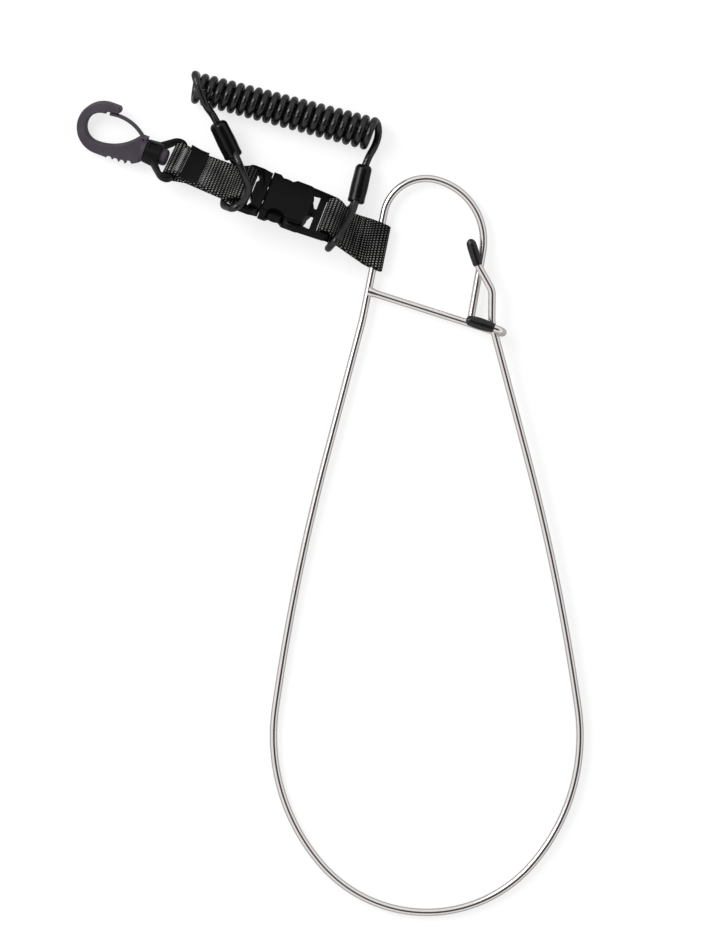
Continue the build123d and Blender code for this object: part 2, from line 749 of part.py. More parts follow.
with BuildPart() as strap_right:
    with BuildSketch(Plane(origin=wire_side.origin, x_dir=wire_side.x_dir, z_dir=wire_side.y_dir * -1)):
        with BuildSketch(mode=Mode.PRIVATE) as wire_fold:
            Circle(loop_outer(wire_radius))
            with Locations((-fold_slack, 0)):
                Circle(loop_outer(wire_radius))
            with Locations((wire_loop_run - 0.5, 0)):
                Rectangle(1, layers)
        make_hull(wire_fold.edges())
        with BuildSketch(mode=Mode.PRIVATE) as wire_hole:
            Circle(loop_inner(wire_radius))
            with Locations((-fold_slack, 0)):
                Circle(loop_inner(wire_radius))
            with Locations((wire_loop_run - 1.5, 0)):
                Circle(0.2)
        make_hull(wire_hole.edges(), mode=Mode.SUBTRACT)
    extrude(amount=half_web, both=True)
    with BuildSketch(Plane(origin=socket_side.origin, x_dir=socket_side.x_dir, z_dir=socket_side.y_dir * -1)):
        with BuildSketch(mode=Mode.PRIVATE) as socket_fold:
            Circle(loop_outer(bar_radius))
            with Locations((loop_run - 0.5, 0)):
                Rectangle(1, layers)
        make_hull(socket_fold.edges())
        with BuildSketch(mode=Mode.PRIVATE) as socket_hole:
            Circle(loop_inner(bar_radius))
            with Locations((loop_run - 1.5, 0)):
                Circle(0.2)
        make_hull(socket_hole.edges(), mode=Mode.SUBTRACT)
    extrude(amount=half_web, both=True)
    with BuildSketch(section(wire_side, wire_loop_run)):
        Rectangle(web_width, layers)
    with BuildSketch(Plane(origin=socket_side.from_local_coords((loop_run, 0, 0)),
                           x_dir=socket_side.y_dir * -1, z_dir=socket_side.x_dir * -1)):
        Rectangle(web_width, layers)
    loft(ruled=True)
strap_right.part.label = "strap_right"
export_step(strap_right.part, "parts/strap_right.step")

with BuildPart() as strap_left:
    with BuildSketch(Plane(origin=plug_side.origin, x_dir=plug_side.x_dir, z_dir=plug_side.y_dir * -1)):
        with BuildSketch(mode=Mode.PRIVATE) as plug_fold:
            Circle(loop_outer(bar_radius))
            with Locations((plug_loop_run - 0.5, 0)):
                Rectangle(1, layers)
        make_hull(plug_fold.edges())
        with BuildSketch(mode=Mode.PRIVATE) as plug_hole:
            Circle(loop_inner(bar_radius))
            with Locations((plug_loop_run - 1.5, 0)):
                Circle(0.2)
        make_hull(plug_hole.edges(), mode=Mode.SUBTRACT)
    extrude(amount=half_web, both=True)
    with BuildSketch(Plane(origin=swivel_side.origin, x_dir=swivel_side.x_dir, z_dir=swivel_side.y_dir * -1)):
        with BuildSketch(mode=Mode.PRIVATE) as swivel_fold:
            Circle(loop_outer(swivel_bar_radius))
            with Locations((loop_run - 0.5, 0)):
                Rectangle(1, layers)
        make_hull(swivel_fold.edges())
        with BuildSketch(mode=Mode.PRIVATE) as swivel_hole:
            Circle(loop_inner(swivel_bar_radius))
            with Locations((loop_run - 1.5, 0)):
                Circle(0.2)
        make_hull(swivel_hole.edges(), mode=Mode.SUBTRACT)
    extrude(amount=pinched_width / 2, both=True)
    with BuildSketch(section(plug_side, plug_loop_run)):
        Rectangle(web_width, layers)
    with BuildSketch(Plane(origin=swivel_side.from_local_coords((loop_run, 0, 0)),
                           x_dir=swivel_side.y_dir * -1, z_dir=swivel_side.x_dir * -1)):
        Rectangle(pinched_width, layers)
    loft(ruled=True)
strap_left.part.label = "strap_left"
export_step(strap_left.part, "parts/strap_left.step")

# Bare label patch, sewn on the front layer next to the swivel.
plug_section = section(plug_side, plug_loop_run)
swivel_section = Plane(origin=swivel_side.from_local_coords((loop_run, 0, 0)),
                       x_dir=swivel_side.y_dir * -1, z_dir=swivel_side.x_dir * -1)
socket_section = section(socket_side, loop_run)
wire_section = Plane(origin=wire_side.from_local_coords((wire_loop_run, 0, 0)),
                     x_dir=wire_side.y_dir * -1, z_dir=wire_side.x_dir * -1)


def strap_section(first, second, fraction):
    ends = []
    for side in (-1, 1):
        near = first.from_local_coords(Vector(side * half_web, layers / 2, 0))
        far = second.from_local_coords(Vector(side * pinched_width / 2, layers / 2, 0))
        ends.append(near + (far - near) * fraction)
    width_dir = (ends[1] - ends[0]).normalized()
    along = (second.origin - first.origin).normalized()
    face_dir = (first.y_dir * (1 - fraction) + second.y_dir * fraction).normalized()
    flat_dir = (face_dir - width_dir * face_dir.dot(width_dir)).normalized()
    middle = (ends[0] + ends[1]) * 0.5
    return Plane(origin=middle, x_dir=width_dir, z_dir=width_dir.cross(flat_dir))


tongue_run = (swivel_section.origin - plug_section.origin).length
label_from = 1 - (label_length + 0.3) / tongue_run
label_to = 1 - 0.3 / tongue_run
label_drop = (web_width - pinched_width) * label_length / tongue_run
with BuildPart() as strap_label:
    with BuildSketch(strap_section(plug_section, swivel_section, label_from)):
        with Locations((0, label_thickness / 2 + 0.02)):
            Rectangle(pinched_width - 0.6 + label_drop, label_thickness)
    with BuildSketch(strap_section(plug_section, swivel_section, label_to)):
        with Locations((0, label_thickness / 2 + 0.02)):
            Rectangle(pinched_width - 0.6, label_thickness)
    loft(ruled=True)
strap_label.part.label = "strap_label"
export_step(strap_label.part, "parts/strap_label.step")


# Coiled lanyard: an unbroken helix of arcs, a lead at each end, and an eye round each strap.
def bend_radii(route, first_limit=math.inf, last_limit=math.inf):
    radii = []
    for before, corner, after in zip(route, route[1:], route[2:]):
        half_turn = math.radians((corner - before).get_angle(after - corner)) / 2
        reach = 0.45 * min((corner - before).length, (after - corner).length)
        if not radii:
            reach = min(reach, first_limit)
        if corner is route[-2]:
            reach = min(reach, last_limit)
        radii.append(round(reach / math.tan(half_turn), 3))
    return radii


coil_rise = coil_radius + cord_radius + 0.1
coil_start = Vector(coil_start_x, coil_start_y, coil_rise)
coil_end = Vector(coil_end_x, coil_end_y, coil_rise)
coil_axis = (coil_end - coil_start).normalized()
coil_side = up.cross(coil_axis)
coil_pitch = (coil_end - coil_start).length / coil_turns
coil_first = math.pi / 2
coil_last = coil_first + 2 * math.pi * coil_turns
steps_per_turn = 2


def coil_point(angle):
    run = coil_pitch * (angle - coil_first) / (2 * math.pi)
    return coil_start + coil_axis * run + up * (coil_radius * math.cos(angle)) + coil_side * (
        coil_radius * math.sin(angle))


def coil_tangent(angle):
    return (coil_axis * (coil_pitch / (2 * math.pi)) - up * (coil_radius * math.sin(angle))
            + coil_side * (coil_radius * math.cos(angle))).normalized()


coil_marks = [coil_first + (coil_last - coil_first) * mark / math.ceil(coil_turns * steps_per_turn)
              for mark in range(math.ceil(coil_turns * steps_per_turn) + 1)]
coil_in = coil_point(coil_first) - coil_tangent(coil_first) * cord_diameter
coil_out = coil_point(coil_last) + coil_tangent(coil_last) * cord_diameter

with BuildLine() as coil_path:
    Line(coil_in, coil_point(coil_first))
    for here, there in zip(coil_marks, coil_marks[1:]):
        start, finish = coil_point(here), coil_point(there)
        leave, arrive = coil_tangent(here), coil_tangent(there)
        gap = finish - start
        both = leave + arrive
        square = 4 - both.dot(both)
        reach = (math.sqrt(gap.dot(both) ** 2 + square * gap.dot(gap)) - gap.dot(both)) / square
        joint = (start + leave * reach + finish - arrive * reach) * 0.5
        first_arc = TangentArc(start, joint, tangent=leave)
        TangentArc(first_arc @ 1, finish, tangent=first_arc % 1)
    Line(coil_point(coil_last), coil_out)

with BuildPart() as coil_cord:
    with BuildSketch(Plane(origin=coil_in, z_dir=coil_tangent(coil_first))):
        Circle(cord_radius)
    sweep(path=coil_path.line)
coil_cord.part.label = "coil_cord"
export_step(coil_cord.part, "parts/coil_cord.step")


def sleeve_plane(foot, bearing, pitch):
    level = Vector(1, 0, 0).rotate(Axis.Z, bearing)
    axis = (level * math.cos(math.radians(pitch)) + up * math.sin(math.radians(pitch))).normalized()
    wide = (chain.z_dir - axis * chain.z_dir.dot(axis)).normalized()
    return Plane(origin=foot, x_dir=wide, z_dir=axis)


left_sleeve = sleeve_plane(Vector(left_sleeve_x, left_sleeve_y, left_sleeve_z), left_sleeve_bearing,
                           left_sleeve_pitch)
right_sleeve = sleeve_plane(Vector(right_sleeve_x, right_sleeve_y, right_sleeve_z), right_sleeve_bearing,
                            right_sleeve_pitch)
crimp_top = crimp_lip + crimp_length
crimp_wide = 2 * (strand_offset + cord_radius + crimp_wall)
crimp_thick = 2 * (cord_radius + crimp_wall)


def strap_point(first, second, fraction, side, height):
    turn = min(max(fraction, 0), 1)
    origin = first.origin + (second.origin - first.origin) * fraction
    width_dir = (first.x_dir * (1 - turn) + second.x_dir * turn).normalized()
    face_dir = (first.y_dir * (1 - turn) + second.y_dir * turn).normalized()
    return origin + width_dir * side + face_dir * height


lay = layers / 2 + cord_radius + 0.2
edge = half_web + cord_radius + 4.6
mouth_limit = mouth_run - 0.2
left_run = tongue_run
right_run = (wire_section.origin - socket_section.origin).length


def left_at(reach, side, height):
    return strap_point(plug_section, swivel_section, (reach - plug_loop_run) / left_run, side, height)


def right_at(reach, side, height):
    return strap_point(socket_section, wire_section, (reach - loop_run) / right_run, -side, height)


left_eye_route = [
    left_sleeve.from_local_coords(Vector(strand_offset, 0, crimp_top)),
    left_sleeve.from_local_coords(Vector(strand_offset, 0, -mouth_run)),
    left_at(5.8, 0, lay + 2.4),
    left_at(4.6, 13, lay + 1.8),
    left_at(4.0, edge, lay + 0.4),
    left_at(5.4, edge, -lay + 0.2),
    left_at(6.4, 12, -lay - 0.9),
    left_at(7.8, -8, -lay - 0.6),
    left_at(8.6, -13.4, -lay - 0.3),
    left_at(9.0, -16.2, -1.6),
    left_sleeve.from_local_coords(Vector(-strand_offset, 0, -mouth_run)),
    left_sleeve.from_local_coords(Vector(-strand_offset, 0, crimp_top)),
]
right_eye_route = [
    right_sleeve.from_local_coords(Vector(strand_offset, 0, crimp_top)),
    right_sleeve.from_local_coords(Vector(strand_offset, 0, -mouth_run)),
    right_at(8.6, -2, lay + 1.3),
    right_at(7.4, 12, lay + 1.3),
    right_at(7.0, edge, lay - 0.2),
    right_at(7.6, edge, -lay + 0.2),
    right_at(7.8, 12, -lay - 1.4),
    right_at(7.6, -9, -lay - 1.4),
    right_at(8.2, -14.1, -lay - 0.7),
    right_at(8.5, -16.2, -1.6),
    right_sleeve.from_local_coords(Vector(-strand_offset, 0, -mouth_run)),
    right_sleeve.from_local_coords(Vector(-strand_offset, 0, crimp_top)),
]
left_top = left_sleeve.from_local_coords(Vector(0, 0, sleeve_length))
right_top = right_sleeve.from_local_coords(Vector(0, 0, sleeve_length))
over_coil = coil_point(coil_first) - coil_tangent(coil_first) * 13.0
below_coil = coil_start + coil_axis * 9.0 - coil_side * 8.6 + up * 11.0
left_lead_route = [
    coil_in,
    over_coil,
    below_coil,
    left_top + left_sleeve.z_dir * mouth_run,
    left_sleeve.from_local_coords(Vector(0, 0, crimp_top)),
]
right_lead_route = [
    coil_out,
    coil_point(coil_last) + coil_tangent(coil_last) * 9.5,
    right_top + right_sleeve.z_dir * mouth_run,
    right_sleeve.from_local_coords(Vector(0, 0, crimp_top)),
]

with BuildLine() as left_eye_path:
    FilletPolyline(*left_eye_route, radius=bend_radii(left_eye_route, mouth_limit, mouth_limit))
with BuildPart() as eye_left:
    with BuildSketch(Plane(origin=left_eye_path.line @ 0, z_dir=left_eye_path.line % 0)):
        Circle(cord_radius)
    sweep(path=left_eye_path.line)
eye_left.part.label = "eye_left"
export_step(eye_left.part, "parts/eye_left.step")

with BuildLine() as right_eye_path:
    FilletPolyline(*right_eye_route, radius=bend_radii(right_eye_route, mouth_limit, mouth_limit))
with BuildPart() as eye_right:
    with BuildSketch(Plane(origin=right_eye_path.line @ 0, z_dir=right_eye_path.line % 0)):
        Circle(cord_radius)
    sweep(path=right_eye_path.line)
eye_right.part.label = "eye_right"
export_step(eye_right.part, "parts/eye_right.step")

with BuildLine() as left_lead_path:
    FilletPolyline(*left_lead_route, radius=bend_radii(left_lead_route, last_limit=mouth_limit))
with BuildPart() as lead_left:
    with BuildSketch(Plane(origin=left_lead_path.line @ 0, z_dir=left_lead_path.line % 0)):
        Circle(cord_radius)
    sweep(path=left_lead_path.line)
lead_left.part.label = "lead_left"
export_step(lead_left.part, "parts/lead_left.step")

with BuildLine() as right_lead_path:
    FilletPolyline(*right_lead_route, radius=bend_radii(right_lead_route, last_limit=mouth_limit))
with BuildPart() as lead_right:
    with BuildSketch(Plane(origin=right_lead_path.line @ 0, z_dir=right_lead_path.line % 0)):
        Circle(cord_radius)
    sweep(path=right_lead_path.line)
lead_right.part.label = "lead_right"
export_step(lead_right.part, "parts/lead_right.step")

# Crimps hold both strands of each eye; a shrunk sleeve covers crimp and cord ends.
with BuildPart() as crimp_left:
    with BuildSketch(left_sleeve.offset(crimp_lip)):
        SlotOverall(crimp_wide, crimp_thick)
        with Locations((strand_offset, 0), (-strand_offset, 0)):
            Circle(cord_radius, mode=Mode.SUBTRACT)
    extrude(amount=crimp_length)
crimp_left.part.label = "crimp_left"
export_step(crimp_left.part, "parts/crimp_left.step")

with BuildPart() as crimp_right:
    with BuildSketch(right_sleeve.offset(crimp_lip)):
        SlotOverall(crimp_wide, crimp_thick)
        with Locations((strand_offset, 0), (-strand_offset, 0)):
            Circle(cord_radius, mode=Mode.SUBTRACT)
    extrude(amount=crimp_length)
crimp_right.part.label = "crimp_right"
export_step(crimp_right.part, "parts/crimp_right.step")

with BuildPart() as sleeve_left:
    with BuildSketch(left_sleeve):
        SlotOverall(sleeve_wide, sleeve_thick)
    extrude(amount=sleeve_length)
    fillet(sleeve_left.faces().sort_by(Axis(left_sleeve.origin, left_sleeve.z_dir))[0].edges(), 0.5)
    fillet(sleeve_left.faces().sort_by(Axis(left_sleeve.origin, left_sleeve.z_dir))[-1].edges(), 1.0)
    with BuildSketch(left_sleeve):
        with Locations((strand_offset, 0), (-strand_offset, 0)):
            Circle(cord_radius)
    extrude(amount=crimp_lip, mode=Mode.SUBTRACT)
    with BuildSketch(left_sleeve.offset(crimp_lip)):
        SlotOverall(crimp_wide, crimp_thick)
    extrude(amount=crimp_length, mode=Mode.SUBTRACT)
    with BuildSketch(left_sleeve.offset(crimp_top)):
        Circle(cord_radius)
    extrude(amount=sleeve_length, mode=Mode.SUBTRACT)
sleeve_left.part.label = "sleeve_left"
export_step(sleeve_left.part, "parts/sleeve_left.step")

with BuildPart() as sleeve_right:
    with BuildSketch(right_sleeve):
        SlotOverall(sleeve_wide, sleeve_thick)
    extrude(amount=sleeve_length)
    fillet(sleeve_right.faces().sort_by(Axis(right_sleeve.origin, right_sleeve.z_dir))[0].edges(), 0.5)
    fillet(sleeve_right.faces().sort_by(Axis(right_sleeve.origin, right_sleeve.z_dir))[-1].edges(), 1.0)
    with BuildSketch(right_sleeve):
        with Locations((strand_offset, 0), (-strand_offset, 0)):
            Circle(cord_radius)
    extrude(amount=crimp_lip, mode=Mode.SUBTRACT)
    with BuildSketch(right_sleeve.offset(crimp_lip)):
        SlotOverall(crimp_wide, crimp_thick)
    extrude(amount=crimp_length, mode=Mode.SUBTRACT)
    with BuildSketch(right_sleeve.offset(crimp_top)):
        Circle(cord_radius)
    extrude(amount=sleeve_length, mode=Mode.SUBTRACT)
sleeve_right.part.label = "sleeve_right"
export_step(sleeve_right.part, "parts/sleeve_right.step")

for name, part, path in (
    ("coil", coil_cord, coil_path),
    ("left eye", eye_left, left_eye_path),
    ("right eye", eye_right, right_eye_path),
    ("left lead", lead_left, left_lead_path),
    ("right lead", lead_right, right_lead_path),
):
    print(name, "volume", round(part.part.volume, 1), "of", round(math.pi * cord_radius**2 * path.wire().length, 1),
          "solids", len(part.part.solids()))
print("left eye bends", bend_radii(left_eye_route, mouth_limit, mouth_limit))
print("right eye bends", bend_radii(right_eye_route, mouth_limit, mouth_limit))
print("left lead bends", bend_radii(left_lead_route, last_limit=mouth_limit))
print("right lead bends", bend_radii(right_lead_route, last_limit=mouth_limit))
least_gap = min(
    (coil_point(coil_first + 0.1 * mark) - coil_point(coil_first + 0.1 * mark + turn)).length
    for mark in range(60) for turn in (5.6, 5.8, 6.0, 6.2, 6.283, 6.4, 6.6)
) - cord_diameter
print("coil pitch", round(coil_pitch, 3), "least gap to itself", round(least_gap, 3))
print("chain", chain.origin, "plug bar", plug_bar_x, "swivel", swivel.origin, "hook", hook_plane.origin)
print("keeper start", keeper_start, "foot run", foot_run, "wire point", wire_point, "leg tip", tip @ 1)
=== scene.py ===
import math

import bpy
from mathutils import Matrix, Vector


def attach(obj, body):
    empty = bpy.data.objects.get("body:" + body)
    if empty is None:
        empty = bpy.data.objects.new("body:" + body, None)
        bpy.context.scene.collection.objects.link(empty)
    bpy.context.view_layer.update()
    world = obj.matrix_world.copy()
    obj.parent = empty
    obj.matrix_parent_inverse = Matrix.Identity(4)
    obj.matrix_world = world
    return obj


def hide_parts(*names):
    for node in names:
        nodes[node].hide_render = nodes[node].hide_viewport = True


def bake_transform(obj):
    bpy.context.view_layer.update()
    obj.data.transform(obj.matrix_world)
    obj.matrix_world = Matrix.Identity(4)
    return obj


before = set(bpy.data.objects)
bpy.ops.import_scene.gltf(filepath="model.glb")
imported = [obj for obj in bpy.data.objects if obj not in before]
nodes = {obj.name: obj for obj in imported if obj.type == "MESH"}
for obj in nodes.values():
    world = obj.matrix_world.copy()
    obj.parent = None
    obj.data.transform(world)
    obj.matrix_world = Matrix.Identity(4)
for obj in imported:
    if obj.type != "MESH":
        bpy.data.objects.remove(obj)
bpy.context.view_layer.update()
print("frame loaded:", len(nodes), "nodes")

mm = 0.001
upward = Vector((0, 0, 1))

# Camera: straight down on the stringer with a long lens
shot = dict(centreX=14.3 * mm, centreY=17.8 * mm, distance=8.0, tall=513.5 * mm, sensor=36.0, sight=30.0)
bpy.ops.object.camera_add(location=(shot["centreX"], shot["centreY"], shot["distance"]), rotation=(0, 0, 0))
camera = bpy.context.object
camera.name = "shotCamera"
camera.data.sensor_width = shot["sensor"]
camera.data.lens = shot["sensor"] * shot["distance"] / shot["tall"]
camera.data.clip_end = shot["sight"]
bpy.context.scene.camera = camera
bpy.context.scene.view_settings.view_transform = "Standard"
print("camera set, lens", round(camera.data.lens))


def linearColour(hexText):
    channels = [int(hexText[i:i + 2], 16) / 255 for i in (1, 3, 5)]
    return [c / 12.92 if c <= 0.04045 else ((c + 0.055) / 1.055) ** 2.4 for c in channels] + [1.0]


def setInputs(tree, node, inputs):
    for socket, value in inputs.items():
        if isinstance(value, bpy.types.NodeSocket):
            tree.links.new(value, node.inputs[socket])
        else:
            node.inputs[socket].default_value = value


# Numbered sockets: Map Range takes 0 value, 1 and 2 from, 3 and 4 to; a colour Mix 0 share, 6 and 7 colours
def addNode(tree, kind, inputs=None, **settings):
    node = tree.nodes.new(kind)
    for name, value in settings.items():
        setattr(node, name, value)
    setInputs(tree, node, inputs or {})
    return node


def startMaterial(name):
    material = bpy.data.materials.new(name)
    material.use_nodes = True
    return material, material.node_tree, material.node_tree.nodes["Principled BSDF"]


# Route of a cord: a NURBS line on its control points, read back as points
def routePoints(name, controls, steps):
    line = bpy.data.curves.new(name, "CURVE")
    line.dimensions = "3D"
    spline = line.splines.new("NURBS")
    spline.points.add(len(controls) - 1)
    for point, place in zip(spline.points, controls):
        point.co = (*place, 1.0)
    spline.order_u = 3
    spline.use_endpoint_u = True
    spline.resolution_u = steps
    holder = bpy.data.objects.new(name, line)
    bpy.context.collection.objects.link(holder)
    bpy.context.view_layer.update()
    trace = bpy.data.meshes.new_from_object(holder)
    points = [v.co.copy() for v in trace.vertices]
    bpy.data.objects.remove(holder)
    bpy.data.curves.remove(line)
    bpy.data.meshes.remove(trace)
    return points


def pathLength(points):
    return sum((b - a).length for a, b in zip(points, points[1:]))


# Carries a face direction along a line of points without twist
def carryFrames(points, faceDir):
    stations = []
    face = Vector(faceDir)
    for i, point in enumerate(points):
        before, after = points[max(i - 1, 0)], points[min(i + 1, len(points) - 1)]
        along = (after - before).normalized()
        face = (face - along * face.dot(along)).normalized()
        stations.append((point, along.cross(face), face))
    return stations


def circleOutline(radius, sides):
    turn = 2 * math.pi / sides
    return [(radius * math.cos(i * turn), radius * math.sin(i * turn)) for i in range(sides)]


# A band with round edges: across is along the first value, thickness along the second
def bandOutline(width, thickness, flats, rounds):
    half, r = width / 2 - thickness / 2, thickness / 2
    upper = [(half - 2 * half * i / flats, r) for i in range(flats + 1)]
    for i in range(1, rounds):
        bend = math.pi * i / rounds
        upper.append((-half - r * math.sin(bend), r * math.cos(bend)))
    return upper + [(-a, -b) for a, b in upper]


sweepFinish = dict(mergeGap=1e-7, smoothAngle=math.radians(50))


# Wraps a grid round a row of stations; its UV map holds real distances in metres
# A swell gives the outline's scale, wide and thick, at a distance along the row
def sweepGrid(name, outline, stations, swell=None):
    around, along = len(outline), len(stations)
    bpy.ops.object.select_all(action="DESELECT")
    bpy.ops.mesh.primitive_grid_add(x_subdivisions=around, y_subdivisions=along - 1, size=1)
    piece = bpy.context.object
    piece.name = piece.data.name = name
    ringLengths, pathLengths = [0.0], [0.0]
    for (a, b), (c, d) in zip(outline, outline[1:] + outline[:1]):
        ringLengths.append(ringLengths[-1] + math.hypot(c - a, d - b))
    for here, there in zip(stations, stations[1:]):
        pathLengths.append(pathLengths[-1] + (there[0] - here[0]).length)
    places = []
    for run, (centre, side, face) in zip(pathLengths, stations):
        wide, thick = swell(run) if swell else (1.0, 1.0)
        for x in range(around + 1):
            a, b = outline[x % around]
            places.extend(centre + side * (a * wide) + face * (b * thick))
    piece.data.vertices.foreach_set("co", places)
    uvs = piece.data.uv_layers[0].data
    for loop in piece.data.loops:
        x, y = loop.vertex_index % (around + 1), loop.vertex_index // (around + 1)
        uvs[loop.index].uv = (ringLengths[x], pathLengths[y])
    piece.data.update()
    bpy.ops.object.mode_set(mode="EDIT")
    bpy.ops.mesh.select_all(action="SELECT")
    bpy.ops.mesh.remove_doubles(threshold=sweepFinish["mergeGap"])
    bpy.ops.mesh.fill_holes(sides=0)
    bpy.ops.mesh.select_all(action="SELECT")
    bpy.ops.mesh.normals_make_consistent(inside=False)
    bpy.ops.object.mode_set(mode="OBJECT")
    bpy.ops.object.shade_smooth_by_angle(angle=sweepFinish["smoothAngle"])
    return piece


def dress(piece, material, body=None):
    piece.data.materials.clear()
    piece.data.materials.append(material)
    if body:
        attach(piece, body)
    return piece


# Coated steel cable: glossy black polyurethane over twisted strands, which show faintly through it
coatedCable, tree, shader = startMaterial("coatedSteelCable")
cable = dict(dark="#030304", pale="#303032", strandPitch=1.9 * mm, strandLean=1.5, strandDepth=0.15 * mm,
             grime=3.846 * mm)
uv = addNode(tree, "ShaderNodeUVMap")
parts = addNode(tree, "ShaderNodeSeparateXYZ", {0: uv.outputs[0]})
lean = addNode(tree, "ShaderNodeMath", {0: parts.outputs[0], 1: cable["strandLean"], 2: parts.outputs[1]},
               operation="MULTIPLY_ADD")
wave = addNode(tree, "ShaderNodeMath", {0: lean.outputs[0], 1: 2 * math.pi / cable["strandPitch"]},
               operation="MULTIPLY")
strand = addNode(tree, "ShaderNodeMath", {0: wave.outputs[0]}, operation="SINE")
grime = addNode(tree, "ShaderNodeTexNoise",
                {"Vector": uv.outputs[0], "Scale": 1 / cable["grime"], "Detail": 3.0})
strandLevel = addNode(tree, "ShaderNodeMapRange", {0: strand.outputs[0], 1: 0.4, 2: 1.0, 3: 0.0, 4: 1.0})
strandTint = addNode(tree, "ShaderNodeMath", {0: strandLevel.outputs[0], 1: grime.outputs[0]},
                     operation="MULTIPLY")
tint = addNode(tree, "ShaderNodeMix", {0: strandTint.outputs[0], 6: linearColour(cable["dark"]),
                                       7: linearColour(cable["pale"])}, data_type="RGBA")
bump = addNode(tree, "ShaderNodeBump",
               {"Strength": 0.14, "Distance": cable["strandDepth"], "Height": strand.outputs[0]})
rough = addNode(tree, "ShaderNodeMapRange", {0: grime.outputs[0], 1: 0.3, 2: 0.7, 3: 0.16, 4: 0.26})
setInputs(tree, shader, {"Base Color": tint.outputs[2], "Roughness": rough.outputs[0],
                         "Normal": bump.outputs[0], "IOR": 1.5, "Specular IOR Level": 0.46})

# Coiled lanyard: left lead, helix and right lead on one line of control points, in millimetres
coil = dict(start=(-73.6, 227.3, 8.85), end=(23.6, 201.7, 9.55), radius=6.75, endRadius=7.45, turns=20.25,
            shown=20.0, perTurn=16, diameter=4.0, sides=14, steps=4, face=(0.6, 0.2, 0.75),
            firmStart=22.0, firmEnd=5.0,
            leftLead=[(-59.095, 204.516, 11.747), (-63.035, 212.594, 13.170), (-67.087, 216.691, 19.850),
                      (-73.342, 234.212, 21.762)],
            rightLead=[(25.9, 207.4, 5.4), (26.3, 201.4, 3.2), (23.9, 194.6, 3.4), (20.6, 189.6, 5.9),
                       (17.671, 181.372, 6.415)])
coilStart, coilEnd = Vector(coil["start"]), Vector(coil["end"])
coilAxis = (coilEnd - coilStart).normalized()
coilSide = upward.cross(coilAxis)
pitch = (coilEnd - coilStart).length / coil["turns"]
outside = 1 / math.cos(math.pi / coil["perTurn"])  # control points lie just outside the line
helix = []
for step in range(int(coil["shown"] * coil["perTurn"]) + 1):
    turned = step / coil["perTurn"]
    angle = math.pi / 2 + 2 * math.pi * turned
    wound = outside * (coil["radius"] + (coil["endRadius"] - coil["radius"]) * turned / coil["turns"])
    helix.append(coilStart + coilAxis * (pitch * turned)
                 + upward * (wound * math.cos(angle)) + coilSide * (wound * math.sin(angle)))
lanyardRoute = [Vector(p) * mm for p in coil["leftLead"] + helix + coil["rightLead"]]
lanyardPath = routePoints("lanyardRoute", lanyardRoute, coil["steps"])
cordRound = circleOutline(coil["diameter"] * mm / 2, coil["sides"])
lanyard = sweepGrid("coiledLanyard", cordRound, carryFrames(lanyardPath, coil["face"]))
dress(lanyard, coatedCable)
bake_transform(lanyard)
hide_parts("coil_cord", "lead_left", "lead_right")

# Eyes of the lanyard round the straps, on control points in millimetres
eyeForm = dict(steps=14, face=(0.7, 0.1, 0.7))
eyes = dict(
    left=dict(body="plug_side", controls=[
        (-57.803, 204.837, 13.498), (-49.749, 188.326, 10.588), (-46.38, 179.19, 21.26),
        (-42.83, 171.94, 27.06), (-46.24, 165.01, 31.98), (-51.78, 161.02, 33.88), (-55.06, 162.14, 26.74),
        (-58.32, 163.64, 20.6), (-52.137, 178.162, 7.253), (-51.340, 182.485, 3.814),
        (-50.572, 186.316, 3.885), (-52.333, 187.683, 7.085), (-60.387, 204.194, 9.995)]),
    right=dict(body="socket_side", controls=[
        (17.928, 181.428, 8.599), (13.623, 163.359, 9.573), (9.7, 155.07, 17.35), (5.46, 147.5, 25.76),
        (2.84, 144.01, 29.03), (-1.69, 139.21, 22.27), (0.74, 142.08, 17.53), (5.507, 155.252, 4.992),
        (7.702, 158.829, 1.817), (10.179, 161.501, 2.361), (13.111, 163.246, 5.204),
        (17.415, 181.315, 4.231)]))
for hand, eye in eyes.items():
    eye["path"] = routePoints("eyeRoute", [Vector(p) * mm for p in eye["controls"]], eyeForm["steps"])
    eye["length"] = pathLength(eye["path"])
    eye["cord"] = sweepGrid("strapEye." + hand, cordRound, carryFrames(eye["path"], eyeForm["face"]))
    dress(eye["cord"], coatedCable, eye["body"])
    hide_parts("eye_" + hand)
    print("eye laid:", hand, round(eye["length"], 3))

# Drawn and polished stainless wire: a bright mirror with faint lines along its length
polishedWire, tree, shader = startMaterial("polishedStainlessWire")
drawn = dict(colour="#f4f0ee", dull="#dcd6d4", linePitch=0.35 * mm, lineRun=9 * mm, lineDepth=0.03 * mm)
uv = addNode(tree, "ShaderNodeUVMap")
stretch = addNode(tree, "ShaderNodeMapping", {"Vector": uv.outputs[0],
                                              "Scale": (1 / drawn["linePitch"], 1 / drawn["lineRun"], 1)})
lines = addNode(tree, "ShaderNodeTexNoise", {"Vector": stretch.outputs[0], "Scale": 1.0, "Detail": 2.0})
tint = addNode(tree, "ShaderNodeMix", {0: lines.outputs[0], 6: linearColour(drawn["colour"]),
                                       7: linearColour(drawn["dull"])}, data_type="RGBA")
rough = addNode(tree, "ShaderNodeMapRange", {0: lines.outputs[0], 1: 0.3, 2: 0.7, 3: 0.13, 4: 0.2})
bump = addNode(tree, "ShaderNodeBump",
               {"Strength": 0.06, "Distance": drawn["lineDepth"], "Height": lines.outputs[0]})
setInputs(tree, shader, {"Base Color": tint.outputs[2], "Metallic": 1.0, "Roughness": rough.outputs[0],
                         "Normal": bump.outputs[0]})
